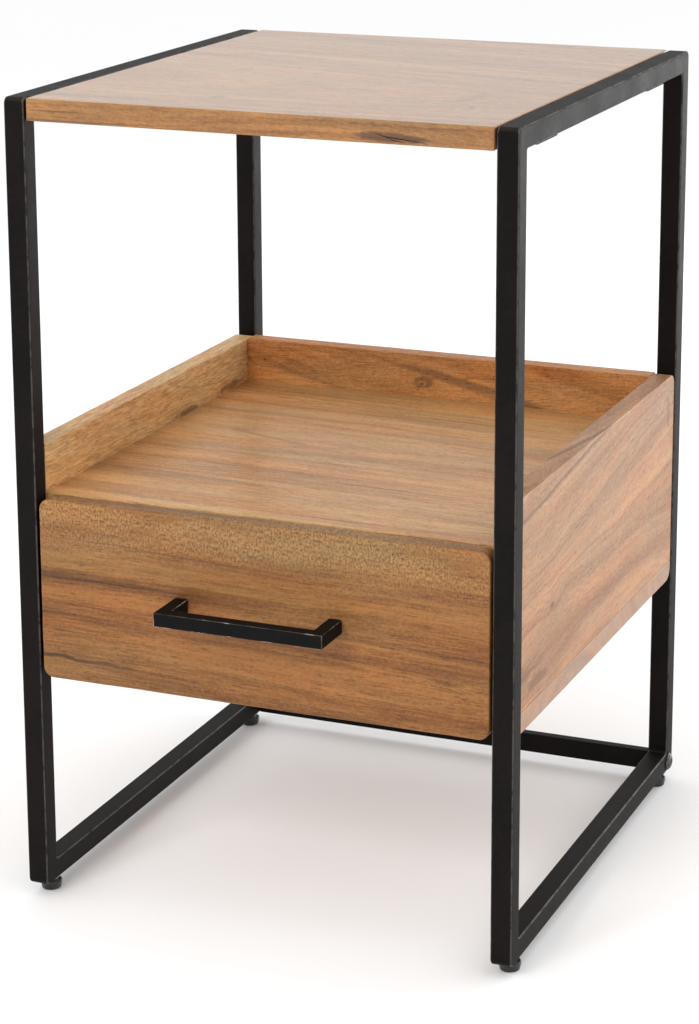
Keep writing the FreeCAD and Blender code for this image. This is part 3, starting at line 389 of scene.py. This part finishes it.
        # The offset keeps the average of the four in the middle, whatever the contrast.
        swing = self.contrast
        depth = tree.total(
            tree.scaled(broad, 2.4 * swing),
            tree.scaled(rings, 1.1 * swing),
            tree.scaled(fibre, 1.7 * swing),
            tree.scaled(ripple, 1.1 * swing, 0.5 - 3.15 * swing),
        )
        colour = tree.blend(tree.fade(depth, -0.25, 1.25), self.light, self.deep)
        dark = tree.total(
            tree.fade(depth, 0.95, 1.6, 0.0, 0.6),
            tree.fade(veins, 0.62, 0.76, 0.0, 0.55 * swing),
            tree.fade(pores, *open_pores, 0.0, 0.5 * swing),
        )
        for share in self.shade:
            dark = tree.math("MAXIMUM", dark, share)
        if self.figured:
            band, curl, gold, brown, strength = self.figured
            tone = tree.blend(tree.fade(curl, 0.34, 0.64), brown, gold)
            colour = tree.blend(tree.scaled(band, strength), colour, tone)
        colour = tree.blend(tree.math("MINIMUM", dark, 0.96), colour, self.dark)
        warm = tree.blend(tree.fade(hue, 0.3, 0.7), rgb(1.07, 0.96, 0.86), rgb(0.95, 1.02, 1.08))
        colour = tree.blend(1.0, colour, warm, "MULTIPLY")
        light = tree.scaled(shimmer, 0.44, 0.78)
        colour = tree.blend(1.0, colour, tree.vector(light, light, light), "MULTIPLY")

        # Painted highlight: the eased arrises are lightened towards the light wood tone.
        arris = tree.edges(tree.add("NewGeometry").outputs["Normal"])
        colour = tree.blend(tree.scaled(arris, 0.20), colour, self.light)

        relief = tree.total(tree.scaled(fibre, 0.6), tree.fade(pores, *open_pores, 0.0, -0.9))
        gloss = tree.total(
            tree.scaled(fibre, 0.14, rough - 0.07),
            tree.fade(pores, *open_pores, 0.0, 0.15),
        )
        return tree.shader(
            Base_Color=colour,
            Roughness=gloss,
            Specular_IOR_Level=0.35,
            Coat_Weight=coat,
            Coat_Roughness=0.22,
            Normal=tree.bump(relief, 0.35, 0.06 * MM),
        )


def top_wood():
    tones = (rgb(0.37, 0.182, 0.052), rgb(0.155, 0.060, 0.015), rgb(0.05, 0.020, 0.010))
    wood = Wood("top_wood", "xyz", (-60.0, 380.0), (0.10, 0.05), tones, 3.1, contrast=0.8)
    wood.knot(-51.0, -133.0, 2.0, 0.95, 1.0, 0.35)
    wood.knot(131.0, -110.0, 2.6, 0.6, 0.8, 0.35)
    wood.streak((20.0, -60.0), (120.0, -70.0), 3.0, 0.35)
    wood.streak((60.0, 60.0), (-90.0, 66.0), 5.0, 0.3)
    wood.stain((98.0, -182.0, 588.5), (32.0, 16.0, 4.2), 0.75)
    wood.stain((-150.0, -182.0, 592.0), (24.0, 20.0, 0.9), 0.6)
    wood.stain((20.0, -182.0, 587.0), (26.0, 20.0, 1.3), 0.35)
    return wood.finish(0.38, 0.62)


def front_wood():
    tones = (rgb(0.33, 0.146, 0.041), rgb(0.135, 0.049, 0.011), rgb(0.045, 0.018, 0.009))
    wood = Wood("front_wood", "xzy", (120.0, -330.0), (0.012, 0.02), tones, 7.7, contrast=1.0)
    wood.streak((-172.0, 194.0), (-20.0, 186.0), 2.4, 0.85, 2.0)
    wood.streak((-160.0, 214.0), (-100.0, 212.0), 1.6, 0.6)
    wood.streak((-172.0, 257.0), (-125.0, 255.0), 1.6, 0.6)
    wood.knot(142.0, 214.0, 1.5, 0.5)
    wood.figure(256.0, 304.0, rgb(0.46, 0.27, 0.105), rgb(0.105, 0.050, 0.018), (1.4, 2.4, 2.4), 0.62)
    return wood.finish(0.50, 0.0)


def tray_wood():
    # Painted light: these tones are set lighter than the top's to make up for the shade under the top.
    tones = (rgb(0.64, 0.362, 0.145), rgb(0.31, 0.142, 0.047), rgb(0.11, 0.046, 0.022))
    wood = Wood("tray_wood", "xyz", (30.0, 150.0), (0.05, 0.01), tones, 5.3, contrast=1.0)
    wood.streak((-120.0, 40.0), (60.0, -20.0), 5.0, 0.35)
    return wood.finish(0.42, 0.12)


def back_wood():
    tones = (rgb(0.69, 0.325, 0.110), rgb(0.33, 0.134, 0.038), rgb(0.10, 0.044, 0.020))
    wood = Wood("back_wood", "xzy", (260.0, -240.0), (-0.06, 0.05), tones, 11.9, contrast=1.0)
    wood.knot(-158.0, 330.0, 1.4)
    wood.knot(-18.0, 322.0, 1.4)
    wood.streak((20.0, 330.0), (150.0, 338.0), 2.5, 0.3)
    return wood.finish(0.50, 0.0)


def right_side_wood():
    tones = (rgb(0.462, 0.257, 0.128), rgb(0.243, 0.108, 0.047), rgb(0.10, 0.038, 0.021))
    heart, lean = (120.0, 60.0), (-0.16, 0.12)
    wood = Wood("right_side_wood", "yzx", heart, lean, tones, 2.6, wander=30.0, contrast=0.85)
    wood.knot(-99.0, 250.0, 3.2, 0.8)
    wood.knot(182.0, 330.0, 1.4, 0.8)
    wood.streak((-164.0, 214.0), (-60.0, 222.0), 4.0, 0.5, 3.0)
    wood.stain((-132.0, 206.0, 189.0), (26.0, 5.0, 8.0), 0.45)
    wood.stain((186.0, 318.0, 189.0), (5.0, 15.0, 8.0), 0.5)
    return wood.finish(0.48, 0.0)


def left_side_wood():
    tones = (rgb(0.69, 0.43, 0.18), rgb(0.38, 0.20, 0.07), rgb(0.11, 0.05, 0.025))
    wood = Wood("left_side_wood", "yzx", (250.0, -60.0), (0.22, 0.1), tones, 9.2)
    wood.figure(250.0, 320.0, rgb(0.80, 0.52, 0.25), rgb(0.36, 0.18, 0.065), (15.0, 1.5, 1.5), 0.55)
    wood.stain((70.0, 313.0, -174.0), (26.0, 3.0, 8.0), 0.7)
    wood.stain((150.0, 314.0, -174.0), (30.0, 3.5, 8.0), 0.7)
    return wood.finish(0.5, 0.0)


def base_wood():
    tones = (rgb(0.38, 0.215, 0.125), rgb(0.29, 0.16, 0.09), rgb(0.13, 0.065, 0.04))
    return Wood("base_wood", "xyz", (-40.0, 90.0), (0.06, 0.04), tones, 4.4).finish(0.45, 0.12)


def box_wood(name, axes, seed):
    tones = (rgb(0.62, 0.46, 0.29), rgb(0.55, 0.38, 0.22), rgb(0.30, 0.18, 0.09))
    return Wood(name, axes, (80.0, 200.0), (0.05, 0.03), tones, seed, contrast=0.55).finish(0.5, 0.05)


def plywood():
    tones = (rgb(0.66, 0.51, 0.35), rgb(0.60, 0.44, 0.28), rgb(0.36, 0.23, 0.13))
    wood = Wood("plywood", "xyz", (60.0, 900.0), (0.12, 0.02), tones, 6.5, wander=30.0, contrast=0.6)
    return wood.finish(0.5, 0.05)


# ------------------------------------------------------------------ mesh helpers
def make_piece(name, mesh, material, body, nodes):
    """A finished piece: it rides on a body and stands for CAD nodes."""
    for face in mesh.polygons:
        face.use_smooth = True
    made = bpy.data.objects.new(name, mesh)
    bpy.context.scene.collection.objects.link(made)
    made.data.materials.append(material)
    evened = made.modifiers.new("even_shading", "WEIGHTED_NORMAL")
    evened.weight = 80
    evened.keep_sharp = True
    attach(made, body)
    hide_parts(*nodes)
    return made


def ring_mesh(name, rings, closed_path=False):
    """A skin over rings of equal length, capped at both ends. A closed path joins the last ring
    to the first instead."""
    count = len(rings[0])
    points = [point for ring in rings for point in ring]
    faces = []
    last = len(rings) if closed_path else len(rings) - 1
    for i in range(last):
        a, b = i * count, (i + 1) % len(rings) * count
        for j in range(count):
            k = (j + 1) % count
            faces.append((a + j, a + k, b + k, b + j))
    if not closed_path:
        faces.append(tuple(reversed(range(count))))
        start = (len(rings) - 1) * count
        faces.append(tuple(range(start, start + count)))
    mesh = bpy.data.meshes.new(name)
    mesh.from_pydata([tuple(p) for p in points], [], faces)
    tidy = bmesh.new()
    tidy.from_mesh(mesh)
    bmesh.ops.recalc_face_normals(tidy, faces=tidy.faces)
    tidy.to_mesh(mesh)
    tidy.free()
    return mesh


def rounded_outline(corners, step=7 * MM, arc_steps=6):
    """Points round a polygon whose corners, given anticlockwise as (u, v, radius), are rounded."""
    points = []
    count = len(corners)
    for i, (u, v, radius) in enumerate(corners):
        here = Vector((u, v))
        before = (Vector(corners[i - 1][:2]) - here).normalized()
        after = (Vector(corners[(i + 1) % count][:2]) - here).normalized()
        half = before.angle(after) / 2
        cut = radius / math.tan(half)
        centre = here + (before + after).normalized() * (radius / math.sin(half))
        first, last = here + before * cut - centre, here + after * cut - centre
        turn = first.angle_signed(last)
        arc = [centre + Matrix.Rotation(-turn * k / arc_steps, 2) @ first for k in range(arc_steps + 1)]
        if points:
            points += between(points[-1], arc[0], step)
        points += arc
    return points + between(points[-1], points[0], step)


def between(start, stop, step):
    """Evenly spaced points strictly between two points."""
    count = max(1, round((stop - start).length / step))
    return [start.lerp(stop, k / count) for k in range(1, count)]


def inset(points, distance):
    """The outline moved inwards, by its own distance at each point. It runs anticlockwise."""
    moved = []
    count = len(points)
    for i, point in enumerate(points):
        before = (point - points[i - 1]).normalized()
        after = (points[(i + 1) % count] - point).normalized()
        left_before, left_after = Vector((-before.y, before.x)), Vector((-after.y, after.x))
        mitre = (left_before + left_after) / (1 + left_before.dot(left_after))
        moved.append(point + mitre * distance[i])
    return moved


def eased_prism(name, outline, low, high, place, ease, unevenness=0.3):
    """A prism between two depths, with hand-eased rims: the rounding grows and shrinks a little
    along each rim. place turns (u, v, depth) into a point in space."""
    uneven_span, steps = 22 * MM, 4
    rings = []
    for depth, inwards in ((low, 1), (high, -1)):
        eases = []
        for point in outline:
            sample = Vector(place(point.x, point.y, depth)) / uneven_span
            eases.append(ease * (1 - unevenness + unevenness * noise.noise(sample)))
        layers = []
        for k in range(steps + 1):
            angle = math.pi / 2 * k / steps
            pull = [e * (1 - math.sin(angle)) for e in eases]
            lift = [e * (1 - math.cos(angle)) for e in eases]
            ring = inset(outline, pull)
            layers.append([place(p.x, p.y, depth + inwards * d) for p, d in zip(ring, lift)])
        rings += layers if inwards > 0 else reversed(layers)
    return ring_mesh(name, rings)


def lathe(name, profile, steps, turn):
    """A turned skin from (radius, height) points, moved to its place by turn. A radius may be a
    function of the angle."""
    rings = []
    for radius, height in profile:
        ring = []
        for k in range(steps):
            angle = 2 * math.pi * k / steps
            reach = radius(angle) if callable(radius) else radius
            ring.append(turn @ Vector((reach * math.cos(angle), reach * math.sin(angle), height)))
        rings.append(ring)
    return ring_mesh(name, rings)


def soft_corner(radius, height, size, up_or_down):
    """Profile points of a rounded corner of a turned piece, from its flat end to its side."""
    steps = 4
    points = []
    for k in range(steps + 1):
        angle = math.pi / 2 * k / steps
        across = radius - size * (1 - math.sin(angle))
        up = height + up_or_down * size * (1 - math.cos(angle))
        points.append((across, up))
    return points


# ------------------------------------------------------------------ welded frames
def frame_loop(side_name, material):
    """One side frame as the welder leaves it: square tube all round, with ground outer corners,
    a small weld fillet inside each corner and slightly uneven grinding beside the seams."""
    tubes = ["front_post", "rear_post", "top_rail", "bottom_rail"]
    nodes = ["%s_%s" % (side_name, part) for part in tubes]
    boxes = [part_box(n) for n in nodes]
    low = Vector([min(b[0][i] for b in boxes) for i in range(3)])
    high = Vector([max(b[1][i] for b in boxes) for i in range(3)])
    tube = high.x - low.x
    middle_x = (low.x + high.x) / 2
    edge, outer_round, fillet = 1.6 * MM, 4 * MM, 2.6 * MM
    arc_steps, run_steps = 8, 40
    ground_reach, ground_depth, ground_span = 34 * MM, 0.14 * MM, 9 * MM

    half = tube / 2
    corners = [(-half, 0.0, edge), (half, 0.0, edge), (half, tube, edge), (-half, tube, edge)]
    section = rounded_outline(corners, step=4 * MM, arc_steps=5)

    def loop_at(depth):
        """The frame's outline at a depth inside its outer face."""
        radius = outer_round + (fillet - outer_round) * depth / tube
        y0, y1 = low.y + depth + radius, high.y - depth - radius
        z0, z1 = low.z + depth + radius, high.z - depth - radius
        centres = [(y1, z0), (y1, z1), (y0, z1), (y0, z0)]
        points = []
        for i, (cy, cz) in enumerate(centres):
            for k in range(arc_steps + 1):
                angle = math.pi / 2 * (i - 1 + k / arc_steps)
                points.append(Vector((cy + radius * math.cos(angle), cz + radius * math.sin(angle))))
            following = centres[(i + 1) % 4]
            angle = math.pi / 2 * i
            stop = Vector(following) + radius * Vector((math.cos(angle), math.sin(angle)))
            start = points[-1]
            points += [start.lerp(stop, k / run_steps) for k in range(1, run_steps)]
        return points

    strands = [loop_at(point.y) for point in section]
    frame_corners = [Vector((y, z)) for y in (low.y, high.y) for z in (low.z, high.z)]
    rings = []
    for i in range(len(strands[0])):
        ring = []
        for strand, point in zip(strands, section):
            y, z = strand[i]
            x = middle_x + point.x
            spot = Vector((x, y, z))
            to_corner = min((Vector((y, z)) - corner).length for corner in frame_corners)
            ground = max(0.0, 1 - to_corner / ground_reach)
            hollow = ground_depth * ground * (0.5 + 0.5 * noise.noise(spot / ground_span))
            inward = -math.copysign(hollow, point.x) if abs(point.x) > tube * 0.4 else 0.0
            ring.append(spot + Vector((inward, 0, 0)))
        rings.append(ring)
    mesh = ring_mesh(side_name + "_frame_loop", rings, closed_path=True)
    return make_piece(side_name + "_frame_loop", mesh, material, "frame", nodes)


def cross_bar_bolt(side_name, side, material):
    """A domed bolt head with a thin rim, a hexagon socket and a short piece of shank that goes
    into the rail. Both heads stand for the CAD node."""
    low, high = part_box("cross_bar_bolts")
    radius = (high.z - low.z) / 2
    centre = Vector((0, (low.y + high.y) / 2, (low.z + high.z) / 2))
    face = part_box(side_name + "_bottom_rail")[0 if side < 0 else 1].x
    rise = (high.x - face) if side > 0 else (face - low.x)
    shank, shank_length = 2.4 * MM, 8 * MM
    rim, ease = 0.9 * MM, 0.2 * MM
    half_flats, socket_depth, mouth = 2.2 * MM, 1.6 * MM, 2.9 * MM
    dome, dome_steps = radius - 0.9 * MM, 6

    def hexagon(angle):
        return half_flats / math.cos((angle + math.pi / 6) % (math.pi / 3) - math.pi / 6)

    profile = [(shank, -shank_length), (shank, 0.0), (radius - ease, 0.0), (radius, ease)]
    profile += [(radius, rim - ease), (radius - ease, rim)]
    first, last = math.radians(12), math.acos(mouth / dome)
    for k in range(dome_steps + 1):
        angle = first + (last - first) * k / dome_steps
        up = rim + (rise - rim) * math.sin(angle) / math.sin(last)
        profile.append((dome * math.cos(angle), up))
    profile += [(hexagon, rise - 0.15 * MM), (hexagon, rise - socket_depth)]
    profile.append((1.0 * MM, rise - 1.9 * MM))
    outwards = Vector((side, 0, 0)).to_track_quat("Z", "Y").to_matrix().to_4x4()
    turn = Matrix.Translation((face, centre.y, centre.z)) @ outwards
    name = side_name + "_bolt_head"
    mesh = lathe(name, profile, 48, turn)
    return make_piece(name, mesh, material, "frame", ["cross_bar_bolts"])


# ------------------------------------------------------------------ wooden boards
def across_z(u, v, depth):
    return (u, v, depth)


def across_y(u, v, depth):
    return (u, depth, v)


def across_x(u, v, depth):
    return (depth, u, v)


def board(node, piece, way, radii, ease, material):
    """A board between the CAD node's faces. way says which axis it is thin along, and radii are
    those of its outline's corners: low-low, high-low, high-high and low-high. They stay above
    the easing, so that the eased rim doesn't fold over itself at a corner."""
    low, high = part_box(node)
    if way is across_z:
        (u0, v0, d0), (u1, v1, d1) = low, high
    elif way is across_y:
        (u0, d0, v0), (u1, d1, v1) = low, high
    else:
        (d0, u0, v0), (d1, u1, v1) = low, high
    corners = [(u0, v0), (u1, v0), (u1, v1), (u0, v1)]
    rounded = [(u, v, max(radius, 1.1 * ease)) for (u, v), radius in zip(corners, radii)]
    outline = rounded_outline(rounded)
    mesh = eased_prism(piece, outline, d0, d1, way, ease)
    return make_piece(piece, mesh, material, body_of[node], [node])


def cut_cracks(board_piece, cracks):
    """Drying cracks: narrow wedges taken out of a board. Each crack is a list of points on the
    face, the way into the wood, and the depth and width at its widest."""
    overhang = 0.4 * MM
    for number, (path, into, depth, width) in enumerate(cracks):
        into = Vector(into)
        rings = []
        count = len(path)
        for i, point in enumerate(path):
            here = Vector(point)
            run = (Vector(path[min(i + 1, count - 1)]) - Vector(path[max(i - 1, 0)])).normalized()
            sideways = run.cross(into).normalized()
            share = math.sin(math.pi * (i + 0.6) / (count + 0.2))
            half = sideways * width / 2 * share
            outside = here - into * overhang
            rings.append([outside - half, outside + half, here + into * depth * share])
        cutter = bpy.data.objects.new("crack", ring_mesh("crack_%d" % number, rings))
        bpy.context.scene.collection.objects.link(cutter)
        cut = board_piece.modifiers.new("crack", "BOOLEAN")
        cut.object = cutter
        cut.solver = "EXACT"
        # The cut comes before the shading modifier, which stays and works again on the cut mesh.
        board_piece.modifiers.move(len(board_piece.modifiers) - 1, 0)
        bpy.context.view_layer.update()
        shaped = board_piece.evaluated_get(bpy.context.evaluated_depsgraph_get())
        cut_mesh = bpy.data.meshes.new_from_object(shaped)
        board_piece.modifiers.remove(cut)
        board_piece.data = cut_mesh
        bpy.data.objects.remove(cutter)


def boards():
    """The seven solid boards, with hand-eased rims, and drying cracks in the top's front edge."""
    square, round_corner, base_corner = 0.7 * MM, 8 * MM, 10 * MM
    crack_depth, crack_width = 2.5 * MM, 0.7 * MM
    plain = [square] * 4
    top = board("table_top", "top_board", across_z, plain, 1.6 * MM, top_wood())
    front_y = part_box("table_top")[0].y
    main = [(80, 592.6), (88, 591.4), (95, 589.2), (103, 588.4), (111, 587.6), (119, 586.9), (127, 585.6)]
    fork = [(97, 588.7), (102, 586.8), (107, 586.2), (112, 585.3)]
    cracks = []
    for path in (main, fork):
        points = [(x * MM, front_y, z * MM) for x, z in path]
        cracks.append((points, (0, 1, 0), crack_depth, crack_width))
    cut_cracks(top, cracks)

    front = [round_corner] * 4
    board("drawer_front", "front_board", across_y, front, 2.2 * MM, front_wood())
    board("tray_floor", "tray_board", across_z, plain, 0.9 * MM, tray_wood())
    board("back_panel", "back_board", across_y, plain, 1.2 * MM, back_wood())
    wall = [square, square, round_corner, square]
    board("left_side_panel", "left_side_board", across_x, wall, 1.3 * MM, left_side_wood())
    board("right_side_panel", "right_side_board", across_x, wall, 1.3 * MM, right_side_wood())
    base = [square, base_corner, square, square]
    board("bottom_board", "base_board", across_x, base, 0.9 * MM, base_wood())


# ------------------------------------------------------------------ handle and feet
def handle(material):
    """The square bar pull and its two legs, with softened arrises and nearly sharp corners."""
    low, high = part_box("drawer_handle")
    bar = high.z - low.z
    ease = 0.8 * MM
    tip = 1.1 * ease
    corners = [
        (low.x, low.y, tip),
        (high.x, low.y, tip),
        (high.x, high.y, tip),
        (high.x - bar, high.y, tip),
        (high.x - bar, low.y + bar, tip),
        (low.x + bar, low.y + bar, tip),
        (low.x + bar, high.y, tip),
        (low.x, high.y, tip),
    ]
    outline = rounded_outline(corners, step=3 * MM, arc_steps=4)
    mesh = eased_prism("bar_handle", outline, low.z, high.z, across_z, ease, unevenness=0.45)
    return make_piece("bar_handle", mesh, material, "drawer", ["drawer_handle"])


def foot_pad(corner, material):
    """A moulded cup that widens upwards, with soft rims and a shallow ring round its socket. Its
    underside is hollowed a little."""
    node = corner + "_foot_pad"
    low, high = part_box(node)
    centre = (low + high) / 2
    wide = (high.x - low.x) / 2
    narrow = wide - 1.0 * MM
    tall = high.z - low.z
    middle, hollow, groove = 0.5 * MM, 0.5 * MM, 0.4 * MM
    socket, socket_floor = 3.1 * MM, 3 * MM
    profile = [(middle, hollow), (narrow - 2.4 * MM, hollow), (narrow - 1.8 * MM, 0.0)]
    profile += soft_corner(narrow, 0.0, 1.0 * MM, 1)
    profile += reversed(soft_corner(wide, tall, 1.1 * MM, -1))
    profile += [(5.6 * MM, tall), (5.2 * MM, tall - groove), (3.6 * MM, tall - groove)]
    profile += [(socket, tall - 0.9 * MM), (socket, socket_floor), (middle, socket_floor)]
    mesh = lathe(node + "_cup", profile, 56, Matrix.Translation((centre.x, centre.y, low.z)))
    return make_piece(corner + "_foot_cup", mesh, material, corner + "_foot", [node])


def foot_screw(corner, material):
    """The stem with its thread, made of rings whose crest turns as they rise, and the stop
    collar that rests on the cup."""
    node = corner + "_foot_stem"
    low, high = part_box(node)
    centre = (low + high) / 2
    collar = (high.x - low.x) / 2
    collar_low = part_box(corner + "_foot_pad")[1].z
    collar_high = collar_low + 2 * MM
    crest, root, pitch = 3 * MM, 2.55 * MM, 1 * MM
    row = pitch / 5

    def thread(height):
        def radius(angle):
            phase = (height / pitch - angle / (2 * math.pi)) % 1.0
            return root + (crest - root) * (1 - abs(2 * phase - 1))
        return radius

    bevel = 0.3 * MM
    profile = [(2.4 * MM, low.z), (crest, low.z + bevel), (crest, collar_low)]
    profile += [(collar - bevel, collar_low), (collar, collar_low + bevel)]
    profile += [(collar, collar_high - bevel), (collar - bevel, collar_high), (root, collar_high)]
    height = collar_high + row
    while height < high.z - 0.4 * MM:
        profile.append((thread(height), height))
        height += row
    profile += [(root, high.z - 0.3 * MM), (root - 0.4 * MM, high.z)]
    mesh = lathe(node + "_thread", profile, 32, Matrix.Translation((centre.x, centre.y, 0)))
    return make_piece(corner + "_foot_screw", mesh, material, corner + "_foot", [node])


# ------------------------------------------------------------------ the whole table
def finish_cad_nodes(materials):
    """Every CAD node gets the material of its slot, apart from the drawer's sides, whose grain
    runs the other way."""
    own_material = {"drawer_left_side": "drawer_side_wood", "drawer_right_side": "drawer_side_wood"}
    for name, node in frame["nodes"].items():
        node.data.materials.clear()
        node.data.materials.append(materials[own_material.get(name, slot_of[name])])


def table():
    """Gives every CAD node its material and adds the pieces that stand for some of them."""
    # The second colour of each pair is the lighter edge: rubbed paint with a painted highlight.
    frame_black, frame_edge_wear_and_highlight = rgb(0.0032, 0.0022, 0.0019), rgb(0.11, 0.094, 0.082)
    steel = coated_steel("frame_steel", frame_black, frame_edge_wear_and_highlight, edge_wear_and_highlight_share=0.6, chips=0.0, welded=True)
    handle_black, handle_edge_wear_and_highlight = rgb(0.0024, 0.0021, 0.0021), rgb(0.13, 0.12, 0.11)
    handle_steel = coated_steel("handle_steel", handle_black, handle_edge_wear_and_highlight, edge_wear_and_highlight_share=0.8, chips=0.9)
    zinc = bare_metal("zinc_steel", rgb(0.62, 0.61, 0.58), rgb(0.42, 0.41, 0.39), 0.38, (6, 6, 0.5))
    rolled = bare_metal("slide_steel", rgb(0.66, 0.66, 0.66), rgb(0.50, 0.50, 0.50), 0.34, (0.6, 30, 0.6))
    bolt = bare_metal("bolt_steel", rgb(0.16, 0.15, 0.14), rgb(0.07, 0.066, 0.06), 0.42, (3, 3, 3))
    plastic = moulded_plastic()
    box_across = box_wood("drawer_box_wood", "xzy", 8.1)
    materials = {
        "frame_steel": steel,
        "handle_steel": handle_steel,
        "zinc_steel": zinc,
        "slide_steel": rolled,
        "bolt_steel": bolt,
        "foot_plastic": plastic,
        "drawer_box_wood": box_across,
        "drawer_side_wood": box_wood("drawer_side_wood", "yzx", 1.4),
        "plywood": plywood(),
        "dowel_wood": box_across,
    }
    # The other slots are those of the boards, whose CAD nodes are replaced and hidden.
    for slot in set(slot_of.values()) - set(materials):
        materials[slot] = box_across
    finish_cad_nodes(materials)
    boards()
    handle(handle_steel)
    for side_name, side in SIDES:
        frame_loop(side_name, steel)
        cross_bar_bolt(side_name, side, bolt)
        for end_name in ENDS:
            corner = "%s_%s" % (side_name, end_name)
            foot_pad(corner, plastic)
            foot_screw(corner, zinc)


camera()
studio()
table()
